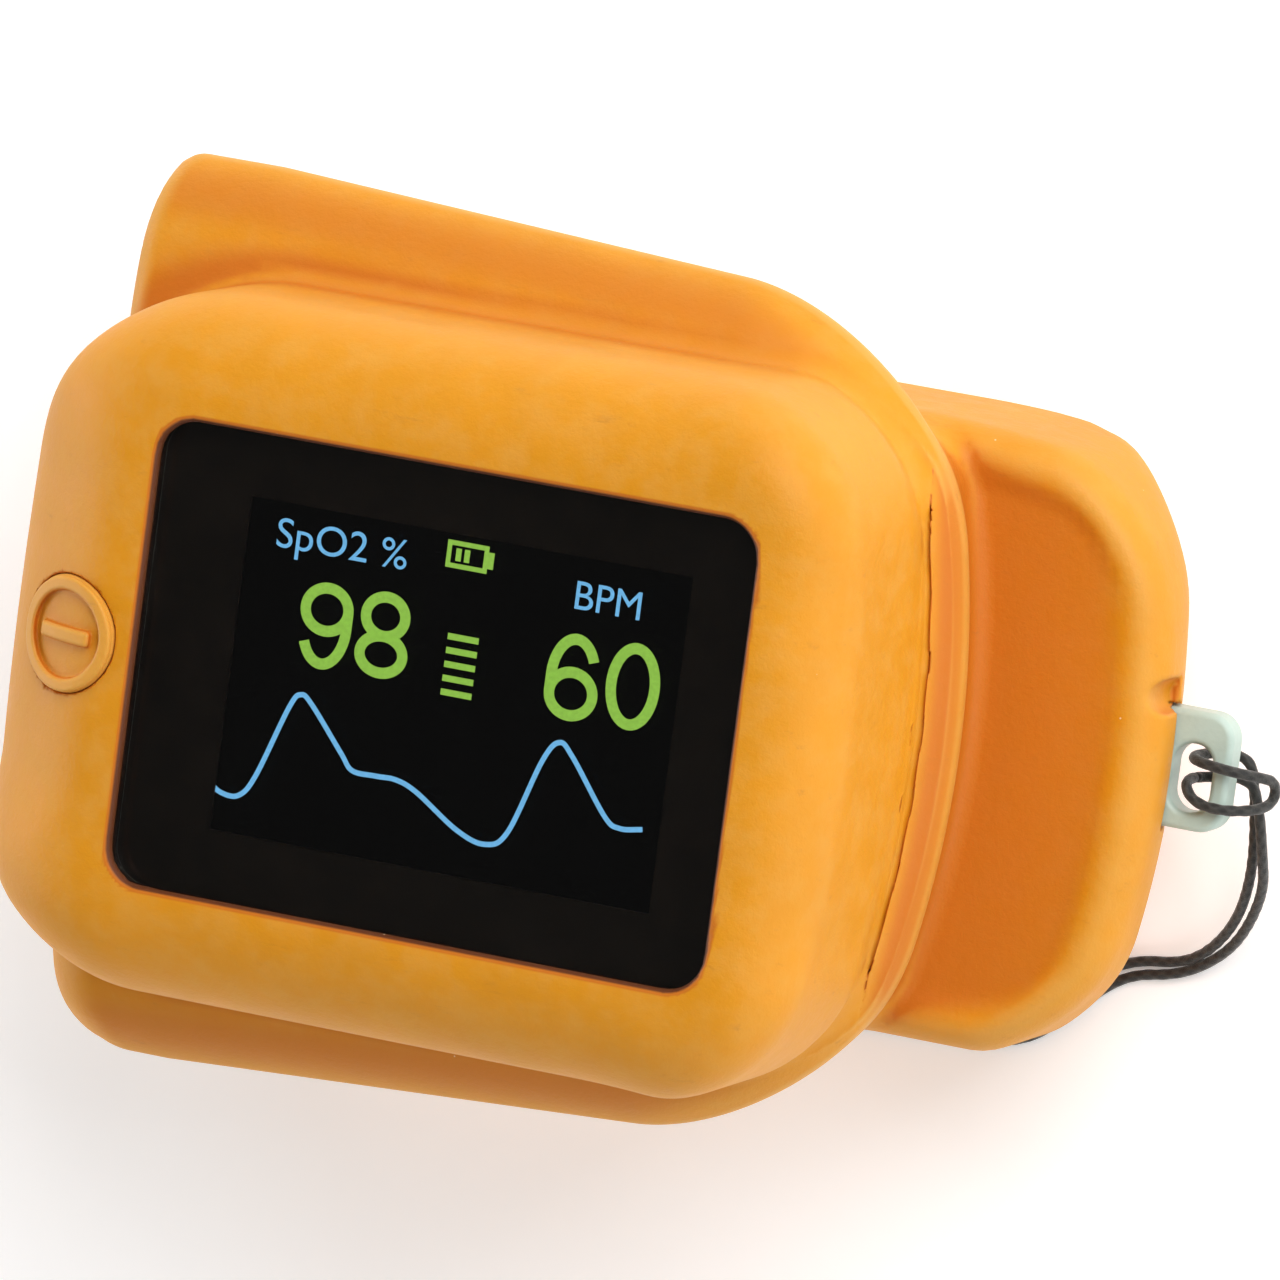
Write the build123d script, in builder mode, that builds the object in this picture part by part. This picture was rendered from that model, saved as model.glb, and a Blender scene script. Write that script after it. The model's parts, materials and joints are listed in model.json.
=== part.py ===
from build123d import *
import math
import os

# Fingertip pulse oximeter in a silicone boot, with its lanyard, in millimetres.
# +X points to the rear (lanyard end), -X to the finger entry, +Z up to the display.
# The origin is the centre of the footprint, on the surface that the boot stands on.

# Driving dimensions: boot
TOTAL_HEIGHT = 36.0
FRONT_X = -31.0
REAR_X = 27.0
BOOT_WALL = 1.6
FIT = 0.05
HUMP_HALF_WIDTH = 18.5
HUMP_REAR_X = 17.5
HUMP_FRONT_CORNER = 10.5
HUMP_REAR_CORNER = 8.5
BROW_RADIUS = 10.0
SIDE_ROUND = 6.0
REAR_ROUND = 5.0
CORNER_ROUND = 4.5
CREST_HALF_WIDTH = 23.7
CREST_FRONT_X = -29.0
CREST_REAR_X = 18.8
SKIRT_LEAN = 4.8
SKIRT_TOP_Z = 25.0
UPPER_RIM_Z = 19.2
LOWER_RIM_Z = 18.8
COLLAR_BOTTOM_Z = 13.0
COLLAR_REAR_X = 7.0
TUB_HALF_WIDTH = 16.3
TUB_FRONT_CORNER = 5.6
TUB_REAR_CORNER = 10.5
TUB_BOTTOM_ROUND = 3.3
PLATFORM_FRONT_X = 14.0
PLATFORM_RIM_Z = 15.0
PLATFORM_PANEL_Z = 14.2
PLATFORM_RIM_WIDTH = 2.4
HEEL_START_X = 18.0
HEEL_RISE = 6.4

# Driving dimensions: hard cases
CASE_WALL = 1.3
UPPER_CASE_BOTTOM_Z = 21.4
LOWER_CASE_RIM_Z = 16.5
LOWER_CASE_DECK_Z = 13.5
DECK_THICKNESS = 0.65
DECK_FRONT_X = 7.0
BASE_THICKNESS = 1.2
SHELL_PLATE = 1.0
SHELL_REAR_X = 5.8

# Driving dimensions: finger tunnel, an ellipse along X that ends in a finger stop
TUNNEL_Z = 20.2
TUNNEL_HALF_WIDTH = 8.5
TUNNEL_HALF_HEIGHT = 5.0
TUNNEL_END_X = 3.0
PAD_THICKNESS = 1.3
SHELL_THICKNESS = 1.0
SENSOR_X = -14.0

# Driving dimensions: hinge
HINGE_X = 9.5
HINGE_Z = 20.1
PIN_RADIUS = 1.0
EAR_RADIUS = 2.6
LOWER_EAR_Y = (12.4, 14.2)
UPPER_EAR_Y = (10.6, 12.1)

# Driving dimensions: window, display and button
WINDOW_X = -4.4
WINDOW_LENGTH = 33.4
WINDOW_WIDTH = 24.56
WINDOW_CORNER = 2.0
DISPLAY_X = -3.8
DISPLAY_LENGTH = 24.5
DISPLAY_WIDTH = 17.4
BUTTON_X = -25.1
BUTTON_RADIUS = 3.05
BUTTON_RELIEF = 0.45
SWITCH_X = -24.4
BOARD_Z = 29.5
BOARD_THICKNESS = 1.0

# Driving dimensions: two AAA cells and their door
CELL_RADIUS = 5.2
CELL_LENGTH = 44.5
CELL_Y = 5.45
CELL_Z = 7.55
CELL_FRONT_X = -27.6
DOOR_FRONT_X = -28.0
DOOR_REAR_X = 18.2
DOOR_HALF_WIDTH = 11.6
DOOR_TRAVEL = 5.0
DOOR_HOOKS_X = (-20.0, -8.0, 8.0)

# Driving dimensions: lanyard lug and cord
LUG_END_X = 30.3
LUG_HALF_WIDTH = 3.15
LUG_LOW_Z = 9.1
LUG_HIGH_Z = 10.9
EYE_X = 28.25
EYE_Y = -0.4
EYE_LENGTH = 2.2
EYE_WIDTH = 3.6
CORD_RADIUS = 0.3

# Worked-out values
BROW_X = FRONT_X + BROW_RADIUS
BROW_Z = TOTAL_HEIGHT - BROW_RADIUS
BOOT_INNER = BOOT_WALL - FIT
CASE_TOP_Z = TOTAL_HEIGHT - BOOT_WALL
LENS_FLOOR_Z = CASE_TOP_Z - 0.4
HEEL_SLOPE = HEEL_RISE / (REAR_X - HEEL_START_X)
HEEL_SLANT = math.hypot(1, HEEL_SLOPE)
CELL_REAR_X = CELL_FRONT_X + CELL_LENGTH
LOWER_SCREWS = [(x, y) for x in (-24.0, 2.0) for y in (-12.4, 12.4)]
UPPER_SCREWS = [(x, y) for x in (-22.4, 0.0) for y in (-13.4, 13.4)]


def rounded_plan(x_front, x_rear, half_width, front_corner, rear_corner):
    """Plan outline with one corner radius in front and another at the rear."""
    with BuildSketch() as plan:
        with Locations(((x_front + x_rear) / 2, 0)):
            Rectangle(x_rear - x_front, 2 * half_width)
        fillet(plan.vertices().group_by(Axis.X)[0], front_corner)
        fillet(plan.vertices().group_by(Axis.X)[-1], rear_corner)
    return plan.sketch


def slab(x_low, x_high, y_low, y_high, z_low, z_high):
    """Rectangular block between two corners."""
    with BuildPart() as block:
        with Locations(((x_low + x_high) / 2, (y_low + y_high) / 2, (z_low + z_high) / 2)):
            Box(x_high - x_low, y_high - y_low, z_high - z_low)
    return block.part


def upright_rod(x, y, z_low, z_high, radius):
    """Vertical cylinder."""
    with BuildPart() as rod:
        with BuildSketch(Plane.XY.offset(z_low)):
            with Locations((x, y)):
                Circle(radius)
        extrude(amount=z_high - z_low)
    return rod.part


def hump_block(inset, z_low):
    """Upper jaw's rounded block, drawn in from the boot's outer surface by inset."""
    x_front = FRONT_X + inset
    x_rear = HUMP_REAR_X - inset
    half_width = HUMP_HALF_WIDTH - inset
    height = TOTAL_HEIGHT - inset - z_low
    middle_z = z_low + height / 2
    with BuildPart() as block:
        with BuildSketch(Plane.XY.offset(z_low)):
            add(rounded_plan(x_front, x_rear, half_width, HUMP_FRONT_CORNER - inset, HUMP_REAR_CORNER - inset))
        extrude(amount=height)
        fillet(block.edges().group_by(Axis.Z)[-1], CORNER_ROUND - inset)
        with BuildSketch(Plane.XZ) as side:
            with Locations(((x_front + x_rear) / 2, middle_z)):
                Rectangle(x_rear - x_front, height)
            fillet(side.vertices().sort_by(Axis.X)[:2].sort_by(Axis.Y)[-1], BROW_RADIUS - inset)
            fillet(side.vertices().sort_by(Axis.X)[-2:].sort_by(Axis.Y)[-1], REAR_ROUND - inset)
        extrude(amount=2 * half_width, both=True, mode=Mode.INTERSECT)
        with BuildSketch(Plane.YZ) as end:
            with Locations((0, middle_z)):
                Rectangle(2 * half_width, height)
            fillet(end.vertices().group_by(Axis.Y)[-1], SIDE_ROUND - inset)
        extrude(amount=-2 * FRONT_X, both=True, mode=Mode.INTERSECT)
    return block.part


def crest_plan(inset):
    """Plan outline of the flange that runs round both sides and the rear."""
    half_width = CREST_HALF_WIDTH - inset
    with BuildSketch() as plan:
        with BuildLine():
            Polyline((CREST_FRONT_X, 0), (CREST_FRONT_X, half_width), (-3, half_width - 1.0))
            Spline(
                [(-3, half_width - 1.0), (9, half_width - 3.1), (14, half_width - 7.9), (CREST_REAR_X - inset, 0)],
                tangents=[(1, -0.06), (0, -1)],
            )
            mirror(about=Plane.XZ)
        make_face()
    return plan.sketch


def flange(inset, z_wide, z_narrow):
    """Flange body: widest at z_wide and leaning in towards the hump or the tub."""
    with BuildPart() as body:
        with BuildSketch(Plane.XY.offset(min(z_wide, z_narrow))):
            add(crest_plan(inset + (0 if z_wide < z_narrow else SKIRT_LEAN)))
        with BuildSketch(Plane.XY.offset(max(z_wide, z_narrow))):
            add(crest_plan(inset + (SKIRT_LEAN if z_wide < z_narrow else 0)))
        loft(ruled=True)
    return body.part


def tunnel_bar(grow, x_low, x_high):
    """Elliptical bar along X, larger than the finger tunnel by grow all round."""
    with BuildPart() as bar:
        with BuildSketch(Plane.YZ.offset(x_low)):
            with Locations((0, TUNNEL_Z)):
                Ellipse(TUNNEL_HALF_WIDTH + grow, TUNNEL_HALF_HEIGHT + grow)
        extrude(amount=x_high - x_low)
    return bar.part


def heel_wedge(inset):
    """Space under the rear of the lower jaw, which rises towards the lug."""
    start_x = HEEL_START_X
    start_z = inset * HEEL_SLANT
    reach = 20.0
    with BuildPart() as wedge:
        with BuildSketch(Plane.XZ):
            with BuildLine():
                Polyline(
                    (start_x - start_z / HEEL_SLOPE, 0),
                    (start_x + reach, start_z + reach * HEEL_SLOPE),
                    (start_x + reach, 0),
                    close=True,
                )
            make_face()
        extrude(amount=CREST_HALF_WIDTH, both=True)
    return wedge.part


def tub_block(inset, z_high):
    """Lower jaw's outer block, drawn in by inset."""
    with BuildPart() as block:
        with BuildSketch(Plane.XY.offset(inset)):
            add(
                rounded_plan(
                    FRONT_X + inset,
                    REAR_X - inset,
                    TUB_HALF_WIDTH - inset,
                    TUB_FRONT_CORNER - inset,
                    TUB_REAR_CORNER - inset,
                )
            )
        extrude(amount=z_high - inset)
        fillet(block.edges().group_by(Axis.Z)[0], TUB_BOTTOM_ROUND - inset)
        add(heel_wedge(inset), mode=Mode.SUBTRACT)
    return block.part


def brow_layer(radius_low, radius_high, figure):
    """A plan figure raised vertically onto the curved brow between two radii."""
    with BuildPart() as layer:
        with BuildSketch(Plane.XY.offset(BROW_Z)):
            with Locations((BUTTON_X, 0)):
                add(figure)
        extrude(amount=2 * BROW_RADIUS)
        with BuildSketch(Plane.XZ):
            with Locations((BROW_X, BROW_Z)):
                Circle(radius_high)
                Circle(radius_low, mode=Mode.SUBTRACT)
        extrude(amount=2 * BUTTON_RADIUS, both=True, mode=Mode.INTERSECT)
    return layer.part


def window_plate(clearance, z_low, z_high):
    """Plate with the window's outline, smaller than the window by clearance all round."""
    with BuildPart() as plate:
        with BuildSketch(Plane.XY.offset(z_low)):
            with Locations((WINDOW_X, 0)):
                RectangleRounded(
                    WINDOW_LENGTH - 2 * clearance, WINDOW_WIDTH - 2 * clearance, WINDOW_CORNER - clearance
                )
        extrude(amount=z_high - z_low)
    return plate.part


def save(piece, label):
    """Labels a finished piece and writes it to its own STEP file."""
    piece.label = label
    export_step(piece, f"parts/{label}.step")


os.makedirs("parts", exist_ok=True)

# --- Silicone boot -----------------------------------------------------------

# Upper half of the boot: hump, hanging skirt, window cut-out and button hole.
with BuildPart() as boot_upper:
    add(hump_block(0, UPPER_RIM_Z))
    add(flange(0, UPPER_RIM_Z, SKIRT_TOP_Z))
    add(hump_block(BOOT_INNER, UPPER_RIM_Z), mode=Mode.SUBTRACT)
    add(flange(BOOT_WALL, UPPER_RIM_Z, SKIRT_TOP_Z), mode=Mode.SUBTRACT)
    add(window_plate(0, CASE_TOP_Z - 1, TOTAL_HEIGHT + 1), mode=Mode.SUBTRACT)
    add(upright_rod(BUTTON_X, 0, BROW_Z, TOTAL_HEIGHT + 1, BUTTON_RADIUS + 0.15), mode=Mode.SUBTRACT)
    add(tunnel_bar(PAD_THICKNESS + 0.1, FRONT_X - 1, FRONT_X + 3), mode=Mode.SUBTRACT)
save(boot_upper.part, "boot_upper")

# Lower half of the boot: tub with a collar under the skirt, and the rear platform.
with BuildPart() as boot_lower:
    add(tub_block(0, LOWER_RIM_Z))
    with BuildSketch(Plane.XZ):
        with BuildLine():
            Polyline(
                (COLLAR_REAR_X, PLATFORM_RIM_Z),
                (COLLAR_REAR_X, TOTAL_HEIGHT),
                (LUG_END_X, TOTAL_HEIGHT),
                (LUG_END_X, PLATFORM_RIM_Z),
                close=True,
            )
        make_face()
    extrude(amount=CREST_HALF_WIDTH, both=True, mode=Mode.SUBTRACT)
    with BuildPart(mode=Mode.PRIVATE) as collar:
        add(flange(0, LOWER_RIM_Z, COLLAR_BOTTOM_Z))
        add(slab(COLLAR_REAR_X, LUG_END_X, -30, 30, 0, TOTAL_HEIGHT), mode=Mode.SUBTRACT)
    add(collar.part)
    add(flange(BOOT_WALL, LOWER_RIM_Z + 0.01, COLLAR_BOTTOM_Z + 2.0), mode=Mode.SUBTRACT)
    with BuildPart(mode=Mode.PRIVATE) as hollow:
        add(tub_block(BOOT_INNER, TOTAL_HEIGHT))
        add(
            slab(PLATFORM_FRONT_X, LUG_END_X, -30, 30, LOWER_CASE_DECK_Z + FIT, TOTAL_HEIGHT + 1),
            mode=Mode.SUBTRACT,
        )
    add(hollow.part, mode=Mode.SUBTRACT)
    with BuildSketch(Plane.XY.offset(PLATFORM_PANEL_Z)):
        add(
            rounded_plan(
                PLATFORM_FRONT_X - 1,
                REAR_X - PLATFORM_RIM_WIDTH,
                TUB_HALF_WIDTH - PLATFORM_RIM_WIDTH,
                0.5,
                TUB_REAR_CORNER - PLATFORM_RIM_WIDTH,
            )
        )
    extrude(amount=2, mode=Mode.SUBTRACT)
    door_gap = 0.4
    add(
        slab(
            DOOR_FRONT_X - door_gap,
            DOOR_REAR_X + DOOR_TRAVEL + 0.2,
            -DOOR_HALF_WIDTH - door_gap,
            DOOR_HALF_WIDTH + door_gap,
            -1,
            BOOT_WALL + 0.1,
        ),
        mode=Mode.SUBTRACT,
    )
    add(
        slab(REAR_X - 3, REAR_X + 1, -LUG_HALF_WIDTH - 0.15, LUG_HALF_WIDTH + 0.15, LUG_LOW_Z - 0.2, LUG_HIGH_Z + 0.2),
        mode=Mode.SUBTRACT,
    )
    add(tunnel_bar(PAD_THICKNESS + 0.1, FRONT_X - 1, FRONT_X + 3), mode=Mode.SUBTRACT)
save(boot_lower.part, "boot_lower")

# --- Upper jaw, hard parts ---------------------------------------------------

# Upper case: open-bottomed shell with the window recess and four screw bosses.
with BuildPart() as upper_case:
    add(hump_block(BOOT_WALL, UPPER_CASE_BOTTOM_Z))
    add(hump_block(BOOT_WALL + CASE_WALL, UPPER_CASE_BOTTOM_Z - 0.01), mode=Mode.SUBTRACT)
    for boss_x, boss_y in UPPER_SCREWS:
        plate_top = UPPER_CASE_BOTTOM_Z + SHELL_PLATE
        add(upright_rod(boss_x, boss_y, plate_top, CASE_TOP_Z - 1.8, 1.7))
        add(upright_rod(boss_x, boss_y, plate_top - 1, plate_top + 7, 0.72), mode=Mode.SUBTRACT)
    add(window_plate(-FIT, LENS_FLOOR_Z, TOTAL_HEIGHT), mode=Mode.SUBTRACT)
    add(
        slab(DISPLAY_X - 14.2, DISPLAY_X + 14.2, -10.7, 10.7, CASE_TOP_Z - 2, TOTAL_HEIGHT),
        mode=Mode.SUBTRACT,
    )
    add(upright_rod(BUTTON_X, 0, BROW_Z, TOTAL_HEIGHT, BUTTON_RADIUS + 0.2), mode=Mode.SUBTRACT)
    add(
        tunnel_bar(PAD_THICKNESS + SHELL_THICKNESS + 0.1, FRONT_X, FRONT_X + BOOT_WALL + CASE_WALL + 0.5),
        mode=Mode.SUBTRACT,
    )
save(upper_case.part, "upper_case")

# Clear window over the display.
with BuildPart() as display_lens:
    add(window_plate(0.05, LENS_FLOOR_Z + 0.15, CASE_TOP_Z + 1.0))
    chamfer(display_lens.edges().group_by(Axis.Z)[-1], 0.15)
save(display_lens.part, "display_lens")

# Black printed border behind the window.
with BuildPart() as lens_mask:
    add(window_plate(0.05, LENS_FLOOR_Z + 0.02, LENS_FLOOR_Z + 0.14))
    with BuildSketch(Plane.XY.offset(LENS_FLOOR_Z)):
        with Locations((DISPLAY_X, 0)):
            Rectangle(DISPLAY_LENGTH, DISPLAY_WIDTH)
    extrude(amount=1, mode=Mode.SUBTRACT)
save(lens_mask.part, "lens_mask")

# Display panel, with a rear connector bar.
with BuildPart() as display_module:
    add(slab(DISPLAY_X - 14, DISPLAY_X + 14, -10.5, 10.5, LENS_FLOOR_Z - 1.6, LENS_FLOOR_Z - 0.05))
    chamfer(display_module.edges().group_by(Axis.Z)[-1], 0.2)
save(display_module.part, "display_module")

# Foam frame that holds the display off the board.
with BuildPart() as display_frame:
    with BuildSketch(Plane.XY.offset(BOARD_Z + BOARD_THICKNESS)):
        with Locations((DISPLAY_X, 0)):
            RectangleRounded(28, 21, 1)
            RectangleRounded(24, 17, 1, mode=Mode.SUBTRACT)
    extrude(amount=LENS_FLOOR_Z - 1.65 - BOARD_Z - BOARD_THICKNESS)
save(display_frame.part, "display_frame")

# Main circuit board, cleared round the four bosses.
with BuildPart() as main_board:
    with BuildSketch(Plane.XY.offset(BOARD_Z)):
        add(rounded_plan(-26.3, 13.8, 15.0, 4.8, 4.0))
        with Locations(UPPER_SCREWS):
            Circle(1.9, mode=Mode.SUBTRACT)
    extrude(amount=BOARD_THICKNESS)
save(main_board.part, "main_board")

# Chips and passives, as separate solids on both faces of the board.
chips_below = [(1.0, 0.0, 7.0, 7.0, 1.1), (-7.0, 8.0, 5.0, 4.0, 1.0), (-6.0, -8.5, 4.0, 3.2, 0.9)]
chips_above = [(-3.8, 5.0, 14.0, 3.0, 1.0), (-9.0, -3.0, 3.0, 3.0, 0.8), (0.0, -3.0, 2.0, 1.2, 0.7)]
passives_above = [(2.0 * step - 12.0, -6.5, 1.2, 0.7, 0.5) for step in range(8)]
with BuildPart() as board_components:
    for chip_x, chip_y, chip_length, chip_width, chip_height in chips_below:
        with Locations((chip_x, chip_y, BOARD_Z - chip_height / 2)):
            Box(chip_length, chip_width, chip_height)
    for chip_x, chip_y, chip_length, chip_width, chip_height in chips_above + passives_above:
        with Locations((chip_x, chip_y, BOARD_Z + BOARD_THICKNESS + chip_height / 2)):
            Box(chip_length, chip_width, chip_height)
save(board_components.part, "board_components")

# Round beeper under the board.
with BuildPart() as buzzer:
    add(upright_rod(-20.5, 8.0, BOARD_Z - 2.2, BOARD_Z, 4.0))
    add(upright_rod(-20.5, 8.0, BOARD_Z - 3, BOARD_Z - 1.6, 0.8), mode=Mode.SUBTRACT)
save(buzzer.part, "buzzer")

# Push switch under the power button.
switch_base_z = BOARD_Z + BOARD_THICKNESS
switch_top_z = switch_base_z + 1.5
with BuildPart() as tact_switch:
    add(slab(SWITCH_X - 1.8, SWITCH_X + 1.8, -1.8, 1.8, switch_base_z, switch_top_z))
    chamfer(tact_switch.edges().filter_by(Axis.Z), 0.3)
    add(upright_rod(SWITCH_X, 0, switch_base_z + 0.4, switch_top_z + 1, 1.2), mode=Mode.SUBTRACT)
save(tact_switch.part, "tact_switch")

# Inner shell of the upper jaw: plate, finger arch with its stop, and two hinge ears.
with BuildPart() as upper_inner_shell:
    with BuildSketch(Plane.XY.offset(UPPER_CASE_BOTTOM_Z)):
        add(rounded_plan(-28.05, 14.5, 15.5, 7.65, 5.65))
        add(rounded_plan(SHELL_REAR_X, 15.0, 14.4, 0.3, 0.3), mode=Mode.SUBTRACT)
    extrude(amount=SHELL_PLATE)
    arch_rear = TUNNEL_END_X + PAD_THICKNESS + SHELL_THICKNESS
    with BuildPart(mode=Mode.PRIVATE) as arch:
        add(tunnel_bar(PAD_THICKNESS + SHELL_THICKNESS, -28.05, arch_rear))
        add(slab(-40, 40, -20, 20, 0, UPPER_CASE_BOTTOM_Z), mode=Mode.SUBTRACT)
    add(arch.part)
    add(tunnel_bar(PAD_THICKNESS, -40, arch_rear - SHELL_THICKNESS), mode=Mode.SUBTRACT)
    for side in (-1, 1):
        ear_middle = side * sum(UPPER_EAR_Y) / 2
        ear_width = UPPER_EAR_Y[1] - UPPER_EAR_Y[0]
        with BuildSketch(Plane.XZ.offset(-ear_middle)):
            with Locations((HINGE_X, HINGE_Z)):
                Circle(EAR_RADIUS)
            with BuildLine():
                Polyline((2.6, 21.6), (2.6, 25.4), (7.0, 25.4), (11.8, 21.2), (7.2, 20.2), close=True)
            make_face()
        extrude(amount=ear_width / 2, both=True)
        with BuildSketch(Plane.XZ.offset(-ear_middle)):
            with Locations((HINGE_X, HINGE_Z)):
                Circle(PIN_RADIUS + 0.06)
        extrude(amount=ear_width, both=True, mode=Mode.SUBTRACT)
    for screw_x, screw_y in UPPER_SCREWS:
        add(upright_rod(screw_x, screw_y, 20, 23, 0.8), mode=Mode.SUBTRACT)
    add(slab(SENSOR_X - 2, SENSOR_X + 2, -1.6, 1.6, 25, 29), mode=Mode.SUBTRACT)
save(upper_inner_shell.part, "upper_inner_shell")

# Soft finger pad in the arch, with a hole over the light source.
with BuildPart() as upper_finger_pad:
    add(tunnel_bar(PAD_THICKNESS - 0.03, FRONT_X + 0.1, TUNNEL_END_X + PAD_THICKNESS - 0.03))
    add(tunnel_bar(0, FRONT_X - 1, TUNNEL_END_X), mode=Mode.SUBTRACT)
    add(slab(-40, 40, -20, 20, 0, 20.9), mode=Mode.SUBTRACT)
    add(slab(SENSOR_X - 3, SENSOR_X + 3, -2.2, 2.2, 24, 28), mode=Mode.SUBTRACT)
save(upper_finger_pad.part, "upper_finger_pad")

# Clear cover, light source and its small board, above the finger.
with BuildPart() as emitter_window:
    add(slab(SENSOR_X - 2.9, SENSOR_X + 2.9, -2.1, 2.1, 25.3, 26.3))
    fillet(emitter_window.edges().filter_by(Axis.Z), 0.5)
save(emitter_window.part, "emitter_window")

with BuildPart() as emitter_led:
    add(slab(SENSOR_X - 1.6, SENSOR_X + 1.6, -1.4, 1.4, 26.4, 27.65))
    add(upright_rod(SENSOR_X, 0, 26, 26.8, 1.0), mode=Mode.SUBTRACT)
save(emitter_led.part, "emitter_led")

with BuildPart() as emitter_board:
    add(slab(SENSOR_X - 4, SENSOR_X + 4, -3, 3, 27.65, 28.2))
save(emitter_board.part, "emitter_board")


def screw_set(places, head_low_z, head_high_z, tip_z):
    """Self-tapping screws as separate solids: flat head with a cross recess, and shank."""
    with BuildPart() as screws:
        shank_start = head_high_z if tip_z > head_low_z else head_low_z
        recess_z = head_low_z if tip_z > head_low_z else head_high_z
        for screw_x, screw_y in places:
            add(upright_rod(screw_x, screw_y, head_low_z, head_high_z, 1.3))
            add(upright_rod(screw_x, screw_y, min(shank_start, tip_z), max(shank_start, tip_z), 0.7))
            with Locations((screw_x, screw_y, recess_z)):
                Box(1.5, 0.35, 0.7, mode=Mode.SUBTRACT)
                Box(0.35, 1.5, 0.7, mode=Mode.SUBTRACT)
    return screws.part


save(screw_set(UPPER_SCREWS, UPPER_CASE_BOTTOM_Z - 0.8, UPPER_CASE_BOTTOM_Z, 28.0), "upper_screws")

# --- Power button ------------------------------------------------------------

# Silicone button: disc that continues the brow, with a raised ring and bar.
with BuildSketch() as disc_figure:
    Circle(BUTTON_RADIUS)
with BuildSketch() as mark_figure:
    Circle(BUTTON_RADIUS)
    Circle(BUTTON_RADIUS - 0.75, mode=Mode.SUBTRACT)
    Rectangle(3.4, 0.85)
with BuildPart() as button_pad:
    add(brow_layer(BROW_RADIUS - 1.4, BROW_RADIUS, disc_figure.sketch))
    add(brow_layer(BROW_RADIUS - 0.2, BROW_RADIUS + BUTTON_RELIEF, mark_figure.sketch))
save(button_pad.part, "button_pad")

# Hard key under the silicone, down to the switch plunger.
key_bottom_z = switch_top_z + 0.55
with BuildSketch() as key_figure:
    Circle(BUTTON_RADIUS - 0.45)
with BuildPart() as power_key:
    add(brow_layer(1.0, BROW_RADIUS - 1.45, key_figure.sketch))
    add(slab(-40, 0, -10, 10, 0, key_bottom_z), mode=Mode.SUBTRACT)
save(power_key.part, "power_key")

save(upright_rod(SWITCH_X, 0, switch_base_z + 0.85, key_bottom_z, 1.0), "switch_plunger")

# --- Lower jaw, hard parts ---------------------------------------------------

case_inner_half = TUB_HALF_WIDTH - BOOT_WALL - CASE_WALL
divider_x = 20.3

# Lower case: battery tub, rear deck, hinge ears, screw bosses and the lanyard lug.
with BuildPart() as lower_case:
    add(tub_block(BOOT_WALL, LOWER_CASE_RIM_Z))
    add(slab(DECK_FRONT_X - 0.5, REAR_X, -30, 30, LOWER_CASE_DECK_Z, 30), mode=Mode.SUBTRACT)
    with BuildPart(mode=Mode.PRIVATE) as bay:
        add(tub_block(BOOT_WALL + CASE_WALL, TOTAL_HEIGHT))
        add(
            slab(DECK_FRONT_X, REAR_X, -30, 30, LOWER_CASE_DECK_Z - DECK_THICKNESS, TOTAL_HEIGHT + 1),
            mode=Mode.SUBTRACT,
        )
        add(slab(divider_x, divider_x + CASE_WALL, -30, 30, 0, TOTAL_HEIGHT), mode=Mode.SUBTRACT)
    add(bay.part, mode=Mode.SUBTRACT)
    base_top_z = BOOT_WALL + CASE_WALL
    for boss_x, boss_y in LOWER_SCREWS:
        add(upright_rod(boss_x, boss_y, base_top_z - 0.2, LOWER_CASE_RIM_Z, 1.5))
        add(upright_rod(boss_x, boss_y, 9, 20, 0.72), mode=Mode.SUBTRACT)
    add(slab(-27.8, 18.0, -11.2, 11.2, 0, base_top_z), mode=Mode.SUBTRACT)
    for hook_x in DOOR_HOOKS_X:
        notch_x = hook_x + DOOR_TRAVEL
        add(slab(notch_x - 2.5, notch_x + 2.5, -12.4, 12.4, 0, base_top_z), mode=Mode.SUBTRACT)
    for side in (-1, 1):
        ear_middle = side * sum(LOWER_EAR_Y) / 2
        ear_width = LOWER_EAR_Y[1] - LOWER_EAR_Y[0]
        with BuildSketch(Plane.XZ.offset(-ear_middle)):
            with Locations((HINGE_X, HINGE_Z)):
                Circle(EAR_RADIUS)
            with BuildLine():
                Polyline((7.1, 13.2), (12.6, 13.2), (12.05, 20.1), (6.95, 20.1), close=True)
            make_face()
        extrude(amount=ear_width / 2, both=True)
        with BuildSketch(Plane.XZ.offset(-ear_middle)):
            with Locations((HINGE_X, HINGE_Z)):
                Circle(PIN_RADIUS + 0.02)
        extrude(amount=ear_width, both=True, mode=Mode.SUBTRACT)
    with BuildPart(mode=Mode.PRIVATE) as lug:
        with BuildSketch(Plane.XY.offset(LUG_LOW_Z)):
            add(rounded_plan(REAR_X - 2.2, LUG_END_X, LUG_HALF_WIDTH, 0.6, 1.4))
            with Locations((EYE_X, EYE_Y)):
                RectangleRounded(EYE_LENGTH, EYE_WIDTH, EYE_LENGTH / 2 - 0.02, mode=Mode.SUBTRACT)
        extrude(amount=LUG_HIGH_Z - LUG_LOW_Z)
        fillet(lug.edges().group_by(Axis.Z)[0] + lug.edges().group_by(Axis.Z)[-1], 0.35)
    add(lug.part)
    add(
        tunnel_bar(PAD_THICKNESS + SHELL_THICKNESS + 0.1, FRONT_X, FRONT_X + BOOT_WALL + CASE_WALL + 0.5),
        mode=Mode.SUBTRACT,
    )
save(lower_case.part, "lower_case")

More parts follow.
